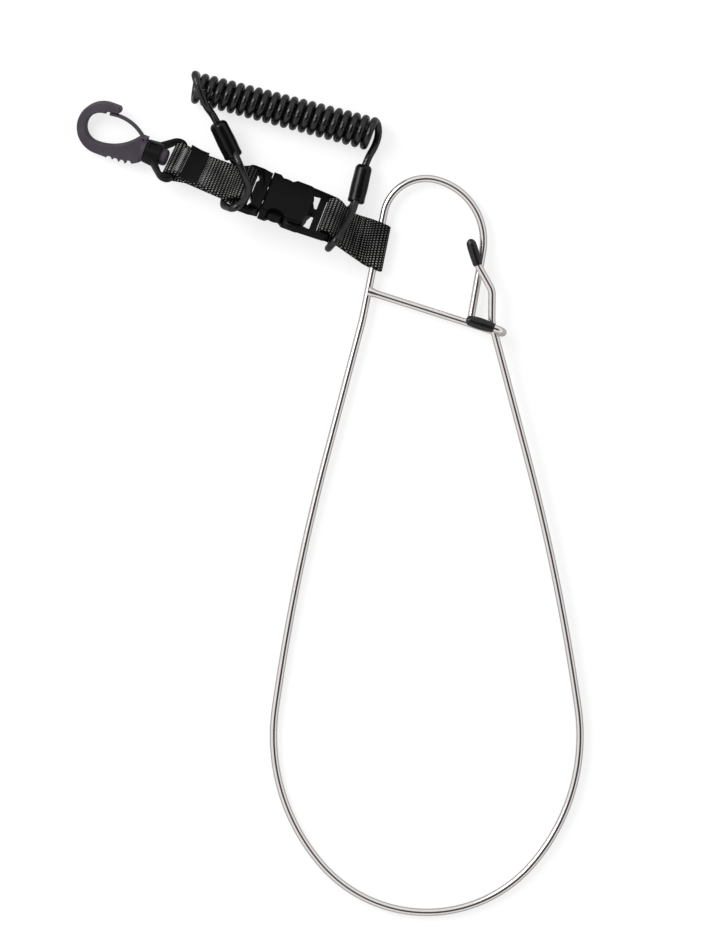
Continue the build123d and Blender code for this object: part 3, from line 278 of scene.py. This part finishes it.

# Wire loop: bends as (radius, turn) and runs as (length, 0); both halves start at the foot of the loop
# The first steps of the foot's bend on each side are swept as a piece of their own
wire = dict(radius=2.0, sides=24, spacing=2.4, foot=(52.2, -218.0, 2.0), flexSteps=14,
            fixedFace=(0.0, -0.008381, 0.999965), freeFace=(0.0, -0.023034, 0.999735),
            fixed=[(75.3, -49.2), (105.9, -48.9), (1186.0, -6.7), (74.4, 0), (60.0, 3.4), (57.3, 0),
                   (23.0, -93.2), (33.9, -85.3), (39.0, 0)],
            free=[(75.3, 49.2), (105.9, 48.9), (1186.0, 6.7), (73.0, 0), (14.0, -15.4), (13.0, 0),
                  (9.0, 30.0), (11.6, 0), (14.0, -12.0), (12.3, 0)])
bendSteps = dict(runShare=4, degrees=4, least=2)  # a run is stepped four times as coarsely as a bend


# Walks along bends and runs in a plane and returns points close enough for a smooth sweep
def bentLine(origin, sideDir, upDir, heading, moves, spacing):
    origin, x, y = Vector(origin), 0.0, 0.0
    points = [origin.copy()]
    for size, turn in moves:
        if turn == 0:
            count = max(int(size / (spacing * bendSteps["runShare"])), 1)
            stepTurn, stride = 0.0, size / count
        else:
            arcSteps = int(abs(math.radians(turn)) * size / spacing)
            count = max(arcSteps, int(abs(turn) / bendSteps["degrees"]), bendSteps["least"])
            stepTurn = math.radians(turn) / count
            stride = 2 * size * math.sin(abs(stepTurn) / 2)
        for _ in range(count):
            x += stride * math.cos(heading + stepTurn / 2)
            y += stride * math.sin(heading + stepTurn / 2)
            heading += stepTurn
            points.append(origin + sideDir * x + upDir * y)
    return points


def planeStations(points, faceDir):
    return [(p * mm, side, Vector(faceDir)) for p, side, _ in carryFrames(points, faceDir)]


acrossDir = Vector((1, 0, 0))
fixedUp, freeUp = Vector(wire["fixedFace"]).cross(acrossDir), Vector(wire["freeFace"]).cross(acrossDir)
fixedPoints = bentLine(wire["foot"], acrossDir, fixedUp, math.pi, wire["fixed"], wire["spacing"])
freePoints = bentLine(wire["foot"], acrossDir, freeUp, 0.0, wire["free"], wire["spacing"])
flex = wire["flexSteps"]
footPoints = fixedPoints[flex:0:-1] + freePoints[:flex + 1]
wireRound = circleOutline(wire["radius"] * mm, wire["sides"])
fixedWire = sweepGrid("wireFixedHalf", wireRound, planeStations(fixedPoints[flex:], wire["fixedFace"]))
freeWire = sweepGrid("wireFreeLeg", wireRound, planeStations(freePoints[flex:], wire["freeFace"]))
footWire = sweepGrid("wireFootBend", wireRound,
                     carryFrames([p * mm for p in footPoints], wire["fixedFace"]))
dress(fixedWire, polishedWire, "ring")
dress(freeWire, polishedWire, "spring_leg")
dress(footWire, polishedWire)
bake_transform(footWire)
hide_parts("ring_wire")
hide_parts("leg_wire")
print("wire loop bent")

# Keeper bar: a straight run that bends up and back over itself; short first runs carry the flare of its weld
keeper = dict(start=(20.615, 117.177, 4.809), along=(0.953191, -0.302359, -0.002528),
              face=(0.047301, 0.140848, 0.988901), spacing=1.2, flare=1.1, flareRun=5.2, flareCurve=1.6,
              moves=[(0.9, 0)] + [(1.2, 0)] * 4 + [(65.3, 0), (5.0, 180), (15.0, 0)])


def weldFlare(run):
    fade = max(0.0, 1 - run / (keeper["flareRun"] * mm))
    swelling = 1 + fade ** keeper["flareCurve"] * keeper["flare"] / wire["radius"]
    return swelling, swelling


keeperAlong, keeperFace = Vector(keeper["along"]), Vector(keeper["face"])
keeperPoints = bentLine(keeper["start"], keeperAlong, keeperFace, 0.0, keeper["moves"], keeper["spacing"])
keeperStations = carryFrames([p * mm for p in keeperPoints], keeperAlong.cross(keeperFace))
keeperBar = sweepGrid("keeperBar", wireRound, keeperStations, weldFlare)
dress(keeperBar, polishedWire, "ring")
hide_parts("keeper_bar")
print("keeper bar welded")

# Dipped vinyl: soft gloss black with a faint skin
dippedVinyl, tree, shader = startMaterial("dippedVinyl")
vinyl = dict(dark="#070708", pale="#161617", skin=1.4286 * mm, skinDepth=0.15 * mm)
place = addNode(tree, "ShaderNodeTexCoord")
skin = addNode(tree, "ShaderNodeTexNoise",
               {"Vector": place.outputs["Object"], "Scale": 1 / vinyl["skin"], "Detail": 3.0})
bump = addNode(tree, "ShaderNodeBump",
               {"Strength": 0.12, "Distance": vinyl["skinDepth"], "Height": skin.outputs[0]})
tint = addNode(tree, "ShaderNodeMix", {0: skin.outputs[0], 6: linearColour(vinyl["dark"]),
                                       7: linearColour(vinyl["pale"])}, data_type="RGBA")
rough = addNode(tree, "ShaderNodeMapRange", {0: skin.outputs[0], 1: 0.3, 2: 0.7, 3: 0.22, 4: 0.34})
setInputs(tree, shader, {"Base Color": tint.outputs[2], "Roughness": rough.outputs[0],
                         "Normal": bump.outputs[0], "IOR": 1.53, "Specular IOR Level": 0.4})

# Dipped ends: a domed cap on the free leg and a swollen sleeve on the keeper's arm, each with a soft rim
# The dome and the rim are shares of the length, and the tip and the flatter side shares of the radius
dips = dict(
    tipCap=dict(start=(79.89, 131.05, 10.04), along=(-0.2990, 0.9540, 0.0220), length=15.0, radius=2.5,
                swell=0.3, dome=0.2, body="spring_leg", node="tip_cap"),
    keeperSleeve=dict(start=(88.57, 97.18, 14.52), along=(-0.953191, 0.302359, 0.002528), length=16.0,
                      radius=2.45, swell=0.75, dome=0.13, body="ring", node="keeper_sleeve"))
dipForm = dict(steps=40, sides=28, rim=0.06, rimPull=0.16, tip=0.02, bulgeCurve=0.8, flatter=0.35)


def dipSwell(dip, run):
    share = run / (dip["length"] * mm)
    domed = 1 - max(share - 1 + dip["dome"], 0.0) ** 2 / dip["dome"] ** 2
    rounded = math.sqrt(max(domed, dipForm["tip"] ** 2))
    rounded *= 1 - dipForm["rimPull"] * max(0.0, 1 - share / dipForm["rim"]) ** 2
    bulge = dip["swell"] * math.sin(math.pi * min(share, 1.0)) ** dipForm["bulgeCurve"] / dip["radius"]
    return rounded * (1 + bulge), rounded * (1 + bulge * dipForm["flatter"])


for name, dip in dips.items():
    along = Vector(dip["along"])
    dipStations = []
    for step in range(dipForm["steps"] + 1):
        share = (1 - math.cos(math.pi * step / dipForm["steps"])) / 2
        spot = Vector(dip["start"]) + along * (dip["length"] * share)
        dipStations.append((spot * mm, along.cross(upward).normalized(), upward))
    piece = sweepGrid(name, circleOutline(dip["radius"] * mm, dipForm["sides"]), dipStations,
                      lambda run: dipSwell(dip, run))
    dress(piece, dippedVinyl, dip["body"])
    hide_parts(dip["node"])
print("dipped ends made")

# Moulded acetal, with a fine spark-eroded grain and a few rubbed patches that shine more
# Buckle and shackle are satin black, the hook a warmer purple black and a little duller
acetals = dict(
    mouldedBlackAcetal=dict(dark="#040405", pale="#0c0c0d", grain=0.3846 * mm, grainRise=0.18,
                            rubbed=8.333 * mm, dull=0.36, shiny=0.27, level=0.13),
    mouldedPurpleBlackAcetal=dict(dark="#312a33", pale="#4c444f", grain=0.4545 * mm, grainRise=0.2,
                                  rubbed=7.143 * mm, dull=0.52, shiny=0.4, level=0.3))
grainDepth = 0.08 * mm
for name, acetal in acetals.items():
    acetal["material"], tree, shader = startMaterial(name)
    place = addNode(tree, "ShaderNodeTexCoord")
    grain = addNode(tree, "ShaderNodeTexNoise",
                    {"Vector": place.outputs["Object"], "Scale": 1 / acetal["grain"], "Detail": 2.0})
    rubbed = addNode(tree, "ShaderNodeTexNoise",
                     {"Vector": place.outputs["Object"], "Scale": 1 / acetal["rubbed"], "Detail": 4.0})
    tint = addNode(tree, "ShaderNodeMix", {0: rubbed.outputs[0], 6: linearColour(acetal["dark"]),
                                           7: linearColour(acetal["pale"])}, data_type="RGBA")
    bump = addNode(tree, "ShaderNodeBump",
                   {"Strength": acetal["grainRise"], "Distance": grainDepth, "Height": grain.outputs[0]})
    rough = addNode(tree, "ShaderNodeMapRange",
                    {0: rubbed.outputs[0], 1: 0.3, 2: 0.7, 3: acetal["dull"], 4: acetal["shiny"]})
    setInputs(tree, shader, {"Base Color": tint.outputs[2], "Roughness": rough.outputs[0],
                             "Normal": bump.outputs[0], "IOR": 1.48, "Specular IOR Level": acetal["level"]})
blackAcetal, hookAcetal = [acetal["material"] for acetal in acetals.values()]

# Burnished steel pin, nearly black in the moulded hole
burnishedPin, tree, shader = startMaterial("burnishedSteelPin")
pin = dict(dark="#1c191d", pale="#3a353b", scuff=1.111 * mm)
place = addNode(tree, "ShaderNodeTexCoord")
scuff = addNode(tree, "ShaderNodeTexNoise",
                {"Vector": place.outputs["Object"], "Scale": 1 / pin["scuff"], "Detail": 3.0})
tint = addNode(tree, "ShaderNodeMix", {0: scuff.outputs[0], 6: linearColour(pin["dark"]),
                                       7: linearColour(pin["pale"])}, data_type="RGBA")
rough = addNode(tree, "ShaderNodeMapRange", {0: scuff.outputs[0], 1: 0.3, 2: 0.7, 3: 0.38, 4: 0.5})
setInputs(tree, shader, {"Base Color": tint.outputs[2], "Metallic": 1.0, "Roughness": rough.outputs[0]})

# Shrink tube: gloss black, pulled tight, with long soft ripples
shrinkTube, tree, shader = startMaterial("shrinkTube")
tube = dict(dark="#060606", pale="#131314", ripple=4.762 * mm, rippleDepth=0.5 * mm)
place = addNode(tree, "ShaderNodeTexCoord")
ripple = addNode(tree, "ShaderNodeTexNoise",
                 {"Vector": place.outputs["Object"], "Scale": 1 / tube["ripple"], "Detail": 2.0})
tint = addNode(tree, "ShaderNodeMix", {0: ripple.outputs[0], 6: linearColour(tube["dark"]),
                                       7: linearColour(tube["pale"])}, data_type="RGBA")
bump = addNode(tree, "ShaderNodeBump",
               {"Strength": 0.3, "Distance": tube["rippleDepth"], "Height": ripple.outputs[0]})
setInputs(tree, shader, {"Base Color": tint.outputs[2], "Roughness": 0.13, "Normal": bump.outputs[0],
                         "IOR": 1.53, "Specular IOR Level": 0.17})

# Shrunk sleeves over the crimps: two strands side by side make a flat-sided tube, which pulls in between
# them, swells over the crimp, has a lip near its lower rim and closes in at its upper end
sleeves = dict(
    left=dict(foot=(-52.6, 191.2, 9.4), along=(-0.432974, 0.887728, 0.156434),
              wide=(0.587252, 0.146134, 0.796103), body="plug_side"),
    right=dict(foot=(14.2, 166.8, 7.2), along=(0.231430, 0.971443, -0.052336),
               wide=(0.116465, 0.025744, 0.992861), body="socket_side"))
sleeveForm = dict(below=2.0, length=21.0, wide=10.4, thick=9.2, sides=36, steps=48, waist=0.05, waistSpan=0.3,
                  crimpSwell=0.05, crimpAt=0.42, crimpSpan=0.26, lip=0.03, lipAt=1.4, lipRun=0.7,
                  rimPull=0.14, rimRun=0.9, closePull=0.3, closeRun=2.7, closeCurve=2.5)


def sleeveSwell(run):
    form, run = sleeveForm, run / mm
    share, left = run / form["length"], form["length"] - run
    ends = 1 - form["rimPull"] * max(0.0, 1 - run / form["rimRun"]) ** 2
    ends -= form["closePull"] * max(0.0, 1 - left / form["closeRun"]) ** form["closeCurve"]
    crimp = 1 + form["crimpSwell"] * math.exp(-((share - form["crimpAt"]) / form["crimpSpan"]) ** 2)
    lip = 1 + form["lip"] * math.exp(-((run - form["lipAt"]) / form["lipRun"]) ** 2)
    return ends * crimp * lip, ends * crimp * lip


strandHalf = (sleeveForm["wide"] - sleeveForm["thick"]) / 2 * mm
sleeveOutline = []
for step in range(sleeveForm["sides"]):
    angle = 2 * math.pi * step / sleeveForm["sides"]
    a, b = math.cos(angle), math.sin(angle)
    pull = 1 - sleeveForm["waist"] * math.exp(-(a / sleeveForm["waistSpan"]) ** 2)
    pulled = sleeveForm["thick"] / 2 * mm * pull
    sleeveOutline.append((pulled * a + math.copysign(strandHalf, a), pulled * b))
for hand, sleeve in sleeves.items():
    along, wide = Vector(sleeve["along"]), Vector(sleeve["wide"])
    sleeveStations = []
    for step in range(sleeveForm["steps"] + 1):
        run = sleeveForm["length"] * step / sleeveForm["steps"] - sleeveForm["below"]
        sleeveStations.append(((Vector(sleeve["foot"]) + along * run) * mm, wide, along.cross(wide)))
    piece = sweepGrid("shrunkSleeve." + hand, sleeveOutline, sleeveStations, sleeveSwell)
    dress(piece, shrinkTube, sleeve["body"])
    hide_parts("sleeve_" + hand)
    eye = eyes[hand]
print("sleeves shrunk")

# Nylon webbing: black yarn in rows of floats across the strap, each row set half a float over; each float
# carries a painted glint,
#  a pale painted highlight whose strength drifts from stronger to weaker along the strap
webbing, tree, shader = startMaterial("wovenNylonWebbing")
# pale is the colour of the painted glints on the floats, not of the yarn
weave = dict(rib=1.7 * mm, float=1.35 * mm, gap=0.6 * mm, rise=0.3 * mm, drift=18.18 * mm, fibre=0.4167 * mm,
             dark="#020203", yarn="#08080a", pale="#c8c8c4")
uv = addNode(tree, "ShaderNodeUVMap")
floats = addNode(tree, "ShaderNodeTexBrick",
                 {"Vector": uv.outputs[0], "Scale": 1.0, "Mortar Size": weave["gap"], "Mortar Smooth": 1.0,
                  "Brick Width": weave["float"], "Row Height": weave["rib"]}, offset=0.5, squash=1.0)
floatLevel = addNode(tree, "ShaderNodeMapRange",
                     {0: floats.outputs["Fac"], 1: 0.34, 2: 0.05, 3: 0.0, 4: 1.0})
drift = addNode(tree, "ShaderNodeTexNoise",
                {"Vector": uv.outputs[0], "Scale": 1 / weave["drift"], "Detail": 2.0})
glintDriftLevel = addNode(tree, "ShaderNodeMapRange", {0: drift.outputs[0], 1: 0.34, 2: 0.66, 3: 0.22, 4: 0.9})
# Painted highlight: the share of pale glint on each float, set by the float's shape and the drift
paintedGlintShare = addNode(tree, "ShaderNodeMath", {0: floatLevel.outputs[0], 1: glintDriftLevel.outputs[0]},
                     operation="MULTIPLY")
fibre = addNode(tree, "ShaderNodeTexNoise",
                {"Vector": uv.outputs[0], "Scale": 1 / weave["fibre"], "Detail": 2.0})
yarn = addNode(tree, "ShaderNodeMix", {0: fibre.outputs[0], 6: linearColour(weave["dark"]),
                                       7: linearColour(weave["yarn"])}, data_type="RGBA")
# Mixes the painted highlight over the dark yarn
tint = addNode(tree, "ShaderNodeMix", {0: paintedGlintShare.outputs[0], 6: yarn.outputs[2],
                                       7: linearColour(weave["pale"])}, data_type="RGBA")
bump = addNode(tree, "ShaderNodeBump",
               {"Strength": 0.6, "Distance": weave["rise"], "Height": floatLevel.outputs[0]})
setInputs(tree, shader, {"Base Color": tint.outputs[2], "Roughness": 0.7, "Normal": bump.outputs[0],
                         "Specular IOR Level": 0.06, "Sheen Weight": 0.01, "Sheen Roughness": 0.4})

# Straps: each is a closed band of webbing, two layers sewn together between a loop at each end
# An end's lean carries its loop sideways, and its share is how far the band is gathered there
straps = dict(
    right=dict(body="socket_side", node="strap_right", grooves=(5.2, 9.0),
               near=dict(place=(25.557, 141.683, 5.015), along=(-0.905827, 0.179437, 0.383771),
                         width=(-0.197657, -0.980237, -0.008216), radius=3.65, reach=6.0, share=1.0,
                         lean=-0.2, slack=0.9),
               far=dict(place=(0.193, 155.742, 16.576), along=(0.782513, -0.558626, -0.274972),
                        width=(-0.261469, -0.695628, 0.669131), radius=4.02, reach=9.0, share=1.0,
                        lean=0.0, slack=0.0)),
    left=dict(body="plug_side", node="strap_left", grooves=(),
              near=dict(place=(-46.236, 173.194, 16.576), along=(-0.955089, 0.286602, -0.075260),
                        width=(-0.261469, -0.695628, 0.669131), radius=4.02, reach=6.8, share=1.0,
                        lean=0.0, slack=0.0),
              far=dict(place=(-82.742, 186.915, 11.233), along=(0.930079, -0.342892, 0.131825),
                       width=(-0.358830, -0.771101, 0.525969), radius=3.65, reach=9.0, share=0.82,
                       lean=0.0, slack=0.0)))
band = dict(width=25.0, thickness=1.6, flats=26, rounds=6, lift=0.86, spacing=0.32, loopSteps=40,
            softening=16, ribs=0.07, groove=0.7, grooveRun=1.5)


# The middle line of a strap's band, once round: places and width directions, and where its front layer is
def strapLine(strap):
    ends = []
    for end, sign in ((strap["near"], 1), (strap["far"], -1)):
        along, width = Vector(end["along"]), Vector(end["width"])
        ends.append(dict(end, place=Vector(end["place"]), face=along.cross(width) * sign,
                         along=along + width * end["lean"], width=width * end["share"]))
    line = []

    def loopAt(end, sense):
        radius, reach, lift = end["radius"], end["reach"], band["lift"]
        touch = math.acos(radius / math.hypot(reach, lift)) + math.atan2(lift, reach)
        for step in range(band["loopSteps"] + 1):
            angle = sense * (touch + (2 * math.pi - 2 * touch) * step / band["loopSteps"])
            out = radius * math.cos(angle) - end["slack"] * (1 - math.cos(angle)) / 2
            spot = end["place"] + end["along"] * out + end["face"] * (radius * math.sin(angle))
            line.append((spot, end["width"]))

    def layer(first, second, height, shares):
        a = first["place"] + first["along"] * first["reach"] + first["face"] * height
        b = second["place"] + second["along"] * second["reach"] + second["face"] * height
        for share in shares:
            line.append((a.lerp(b, share), first["width"].lerp(second["width"], share)))

    near, far = ends
    layer(near, far, -band["lift"], [0.4, 0.3, 0.2, 0.1, 0.0])
    loopAt(near, -1)
    topFrom = len(line)
    layer(near, far, band["lift"], [s / 10 for s in range(11)])
    topTo = len(line) - 1
    loopAt(far, 1)
    layer(near, far, -band["lift"], [1.0, 0.9, 0.8, 0.7, 0.6, 0.5, 0.41])  # the two cut ends meet underneath
    return line, topFrom, topTo


# Even stations on that line, its corners softened by passes of averaging
def evenStations(line, spacing, passes):
    runs = [0.0]
    for here, there in zip(line, line[1:]):
        runs.append(runs[-1] + (there[0] - here[0]).length)
    count = int(runs[-1] / spacing)
    even, k = [], 0
    for i in range(count + 1):
        run = runs[-1] * i / count
        while k < len(runs) - 2 and runs[k + 1] < run:
            k += 1
        share = (run - runs[k]) / max(runs[k + 1] - runs[k], 1e-9)
        even.append([line[k][0].lerp(line[k + 1][0], share), line[k][1].lerp(line[k + 1][1], share)])
    for _ in range(passes):
        soft = [(e[0].copy(), e[1].copy()) for e in even]
        for i in range(1, count):
            for part in (0, 1):
                even[i][part] = soft[i][part].lerp((soft[i - 1][part] + soft[i + 1][part]) / 2, 0.5)
    stations = []
    for i, (place, width) in enumerate(even):
        along = (even[min(i + 1, count)][0] - even[max(i - 1, 0)][0]).normalized()
        stations.append((place * mm, width, along.cross(width).normalized()))
    return stations, runs


# Ribs of the weave along a strap, pressed flat where a row of stitches pulls it in
def strapSwell(strap, run):
    thick = 1.0 + band["ribs"] * math.cos(run * 2 * math.pi / weave["rib"])
    for groove in strap["grooves"]:
        offset = run - (strap["frontFrom"] + groove) * mm
        thick *= 1 - band["groove"] * math.exp(-(offset / (band["grooveRun"] * mm / 2)) ** 2)
    return 1.0, thick


bandRound = bandOutline(band["width"] * mm, band["thickness"] * mm, band["flats"], band["rounds"])
for hand, strap in straps.items():
    line, topFrom, topTo = strapLine(strap)
    strap["stations"], runs = evenStations(line, band["spacing"], band["softening"])
    strap["frontFrom"], strap["frontTo"], strap["whole"] = runs[topFrom], runs[topTo], runs[-1]
    piece = sweepGrid("webStrap." + hand, bandRound, strap["stations"], lambda run: strapSwell(strap, run))
    dress(piece, webbing, strap["body"])
    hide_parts(strap["node"])
    print("strap folded:", hand, "length of webbing", round(strap["whole"], 1), "mm")


# A place on a strap: run from the start of its front layer, distance from its middle, height over its skin
def strapPlace(strap, run, across, height):
    stations = strap["stations"]
    i = round((strap["frontFrom"] + run) / strap["whole"] * (len(stations) - 1))
    i = min(max(i, 1), len(stations) - 2)
    centre, side, face = stations[i]
    along = (stations[i + 1][0] - stations[i - 1][0]).normalized()
    spot = centre + side * (across * mm) + face * ((band["thickness"] / 2 + height) * mm)
    return spot, along, side.normalized(), face


# Satin tape: a fine black ribbon with a cross grain, drawn at twice its real pitch so that it shows
satinTape, tree, shader = startMaterial("blackSatinTape")
tape = dict(grain=0.5 * mm, grainDepth=0.06 * mm, crease=3.333 * mm, dark="#030304", pale="#0d0d0e")
uv = addNode(tree, "ShaderNodeUVMap")
parts = addNode(tree, "ShaderNodeSeparateXYZ", {0: uv.outputs[0]})
wave = addNode(tree, "ShaderNodeMath", {0: parts.outputs[0], 1: 2 * math.pi / tape["grain"]},
               operation="MULTIPLY")
grain = addNode(tree, "ShaderNodeMath", {0: wave.outputs[0]}, operation="SINE")
crease = addNode(tree, "ShaderNodeTexNoise",
                 {"Vector": uv.outputs[0], "Scale": 1 / tape["crease"], "Detail": 3.0})
tint = addNode(tree, "ShaderNodeMix", {0: crease.outputs[0], 6: linearColour(tape["dark"]),
                                       7: linearColour(tape["pale"])}, data_type="RGBA")
bump = addNode(tree, "ShaderNodeBump",
               {"Strength": 0.2, "Distance": tape["grainDepth"], "Height": grain.outputs[0]})
rough = addNode(tree, "ShaderNodeMapRange", {0: crease.outputs[0], 1: 0.3, 2: 0.7, 3: 0.42, 4: 0.6})
setInputs(tree, shader, {"Base Color": tint.outputs[2], "Roughness": rough.outputs[0],
                         "Normal": bump.outputs[0], "Specular IOR Level": 0.12})

# Bare label: a folded patch of tape over the left strap, a little proud of the strap's upper edge
# Its start and end are measured from the strap's turn at the swivel, and its first part curls up
label = dict(start=-6.0, end=5.2, width=21.8, thickness=0.6, flats=20, rounds=6, steps=24, shift=-0.7,
             gap=0.03, curl=0.5, curlShare=0.2)
swivelRun = straps["left"]["frontTo"] - straps["left"]["frontFrom"]
labelStations = []
for step in range(label["steps"] + 1):
    share = step / label["steps"]
    run = swivelRun + label["start"] + (label["end"] - label["start"]) * share
    spot, along, side, face = strapPlace(straps["left"], run, label["shift"],
                                         label["thickness"] / 2 + label["gap"])
    rise = label["curl"] * max(0.0, 1 - share / label["curlShare"]) ** 2
    labelStations.append((spot + face * (rise * mm), side, face))
labelRound = bandOutline(label["width"] * mm, label["thickness"] * mm, label["flats"], label["rounds"])
labelTape = sweepGrid("bareLabelTape", labelRound, labelStations)
dress(labelTape, satinTape, "plug_side")
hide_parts("strap_label")

# Sewing thread: bonded polyester with a little fuzz, grey at the label and black on the right strap
threads = dict(greyPolyesterThread=dict(dark="#6a6a6a", pale="#a0a09e"),
               blackPolyesterThread=dict(dark="#050506", pale="#1a1a1b"))
fuzzSize, fuzzDepth = 0.3333 * mm, 0.1 * mm
for name, thread in threads.items():
    thread["material"], tree, shader = startMaterial(name)
    place = addNode(tree, "ShaderNodeTexCoord")
    fuzz = addNode(tree, "ShaderNodeTexNoise",
                   {"Vector": place.outputs["Object"], "Scale": 1 / fuzzSize, "Detail": 2.0})
    tint = addNode(tree, "ShaderNodeMix", {0: fuzz.outputs[0], 6: linearColour(thread["dark"]),
                                           7: linearColour(thread["pale"])}, data_type="RGBA")
    bump = addNode(tree, "ShaderNodeBump",
                   {"Strength": 0.3, "Distance": fuzzDepth, "Height": fuzz.outputs[0]})
    setInputs(tree, shader, {"Base Color": tint.outputs[2], "Roughness": 0.6, "Normal": bump.outputs[0],
                             "Specular IOR Level": 0.3})
greyThread, blackThread = [thread["material"] for thread in threads.values()]

# One stitch, a short raised bead along x, copied to every place
stitch = dict(segments=8, rings=6, flatter=0.8)
bpy.ops.object.select_all(action="DESELECT")
bpy.ops.mesh.primitive_uv_sphere_add(segments=stitch["segments"], ring_count=stitch["rings"], radius=0.5,
                                     rotation=(0, math.pi / 2, 0))
stitchShape = bpy.context.object
bpy.ops.object.transform_apply(location=False, rotation=True, scale=True)
bpy.ops.object.shade_smooth()


# Rows of stitches: run, how far across, the turn of each stitch, its length and its thickness
def sewRows(name, strap, rows, material):
    copies = []
    for row in rows:
        for i in range(row["count"]):
            across = row["span"] * (i / (row["count"] - 1) - 0.5)
            spot, along, side, face = strapPlace(strap, row["run"], across, row["height"])
            turn = math.radians(row["turn"]) * (-1 if i % 2 else 1)  # turned stitches make a zigzag
            lie = side * math.cos(turn) + along * math.sin(turn)
            lie = (lie - face * lie.dot(face)).normalized()
            frameTurn = Matrix((lie, face.cross(lie), face)).transposed().to_4x4()
            beadSize = Matrix.Diagonal((row["length"] * mm, row["thick"] * mm,
                                        row["thick"] * stitch["flatter"] * mm, 1))
            bead = stitchShape.copy()
            bead.data = stitchShape.data.copy()
            bead.data.transform(Matrix.Translation(spot) @ frameTurn @ beadSize)
            bpy.context.collection.objects.link(bead)
            copies.append(bead)
    bpy.ops.object.select_all(action="DESELECT")
    for bead in copies:
        bead.select_set(True)
    bpy.context.view_layer.objects.active = copies[0]
    bpy.ops.object.join()
    seam = bpy.context.object
    seam.name = seam.data.name = name
    dress(seam, material, strap["body"])


labelStitch = dict(count=15, turn=0, length=0.9, thick=0.42, height=0.08)
boxStitch = dict(span=22.5, count=16, turn=0, length=1.2, thick=0.55, height=-0.2)
sewRows("barTack.left", straps["left"], [
    dict(run=swivelRun + 7.0, span=18.2, count=27, turn=62, length=2.6, thick=0.66, height=0.14),
    dict(run=swivelRun + 4.5, span=18.2, count=12, turn=0, length=0.95, thick=0.48, height=0.66)], greyThread)
sewRows("labelSeam.left", straps["left"], [
    dict(labelStitch, run=swivelRun - 7.5, span=19.5), dict(labelStitch, run=swivelRun - 9.0, span=19.8),
    dict(labelStitch, run=swivelRun - 10.5, span=20.0)], greyThread)
sewRows("boxSeam.right", straps["right"],
        [dict(boxStitch, run=groove) for groove in straps["right"]["grooves"]], blackThread)
bpy.data.objects.remove(stitchShape)
print("label and seams sewn")

# CAD pieces that keep their own shape
finishes = {"buckle_socket": blackAcetal, "buckle_plug": blackAcetal, "prong_left": blackAcetal,
            "prong_right": blackAcetal, "swivel_base": blackAcetal, "hook_body": hookAcetal,
            "hook_gate": hookAcetal, "gate_pin": burnishedPin, "crimp_left": polishedWire,
            "crimp_right": polishedWire}
for name, material in finishes.items():
    nodes[name].data.materials.clear()
    nodes[name].data.materials.append(material)
print("moulded pieces finished")

# Stage: matt white floor that glows for the camera and a little in mirrors, and keeps the shadows
studio = dict(floorSize=9, floorDrop=0.3 * mm, floor="#a6a6a6", glow="#ffffff", cameraGlow=0.7,
              mirrorGlow=0.16)
floorWhite, tree, shader = startMaterial("studioFloorWhite")
rays = addNode(tree, "ShaderNodeLightPath")
mirrored = addNode(tree, "ShaderNodeMath", {0: rays.outputs["Is Glossy Ray"], 1: studio["mirrorGlow"]},
                   operation="MULTIPLY")
glow = addNode(tree, "ShaderNodeMath",
               {0: rays.outputs["Is Camera Ray"], 1: studio["cameraGlow"], 2: mirrored.outputs[0]},
               operation="MULTIPLY_ADD")
setInputs(tree, shader, {"Base Color": linearColour(studio["floor"]), "Roughness": 0.9,
                         "Specular IOR Level": 0.0, "Emission Color": linearColour(studio["glow"]),
                         "Emission Strength": glow.outputs[0]})
bpy.ops.object.select_all(action="DESELECT")
bpy.ops.mesh.primitive_plane_add(size=studio["floorSize"], location=(0, 0, -studio["floorDrop"]))
floor = bpy.context.object
floor.name = "studioFloor"
floor.data.materials.append(floorWhite)

# World: an even soft light; mirrors see a tent instead, dimmer low down and dark where a rig hangs overhead
tentForm = dict(light=0.62, rigDir=(0.24, -0.2, 0.95), rigEdge=(0.78, 0.92), rigDark=0.04, low=0.45,
                high=0.95, highFrom=0.2)
world = bpy.data.worlds.new("studioWorld")
bpy.context.scene.world = world
world.use_nodes = True
tree = world.node_tree
rays = addNode(tree, "ShaderNodeLightPath")
heading = addNode(tree, "ShaderNodeTexCoord")
height = addNode(tree, "ShaderNodeSeparateXYZ", {0: heading.outputs["Generated"]})
overhead = addNode(tree, "ShaderNodeVectorMath", {0: heading.outputs["Generated"], 1: tentForm["rigDir"]},
                   operation="DOT_PRODUCT")
rig = addNode(tree, "ShaderNodeMapRange", {0: overhead.outputs["Value"], 1: tentForm["rigEdge"][0],
                                           2: tentForm["rigEdge"][1], 3: 1.0, 4: tentForm["rigDark"]})
horizon = addNode(tree, "ShaderNodeMapRange", {0: height.outputs[2], 1: 0.0, 2: tentForm["highFrom"],
                                               3: tentForm["low"], 4: tentForm["high"]})
tent = addNode(tree, "ShaderNodeMath", {0: rig.outputs[0], 1: horizon.outputs[0]}, operation="MULTIPLY")
soft = addNode(tree, "ShaderNodeMix", {0: rays.outputs["Is Glossy Ray"], 2: tentForm["light"],
                                       3: tent.outputs[0]}, data_type="FLOAT")
shown = addNode(tree, "ShaderNodeMix", {0: rays.outputs["Is Camera Ray"], 2: soft.outputs[0], 3: 1.0},
                data_type="FLOAT")
setInputs(tree, tree.nodes["Background"], {"Color": (1, 1, 1, 1), "Strength": shown.outputs[0]})

# Key lamp, high on the upper left, aimed at the middle of the stringer
keyLamp = dict(place=(-1.0, 0.8, 1.2), size=0.9, power=16.0)
bpy.ops.object.light_add(type="AREA", location=keyLamp["place"])
lamp = bpy.context.object
lamp.name = "keyLamp"
lamp.data.size, lamp.data.energy = keyLamp["size"], keyLamp["power"]
lamp.rotation_euler = Vector(keyLamp["place"]).to_track_quat("Z", "Y").to_euler()
print("stage lit")
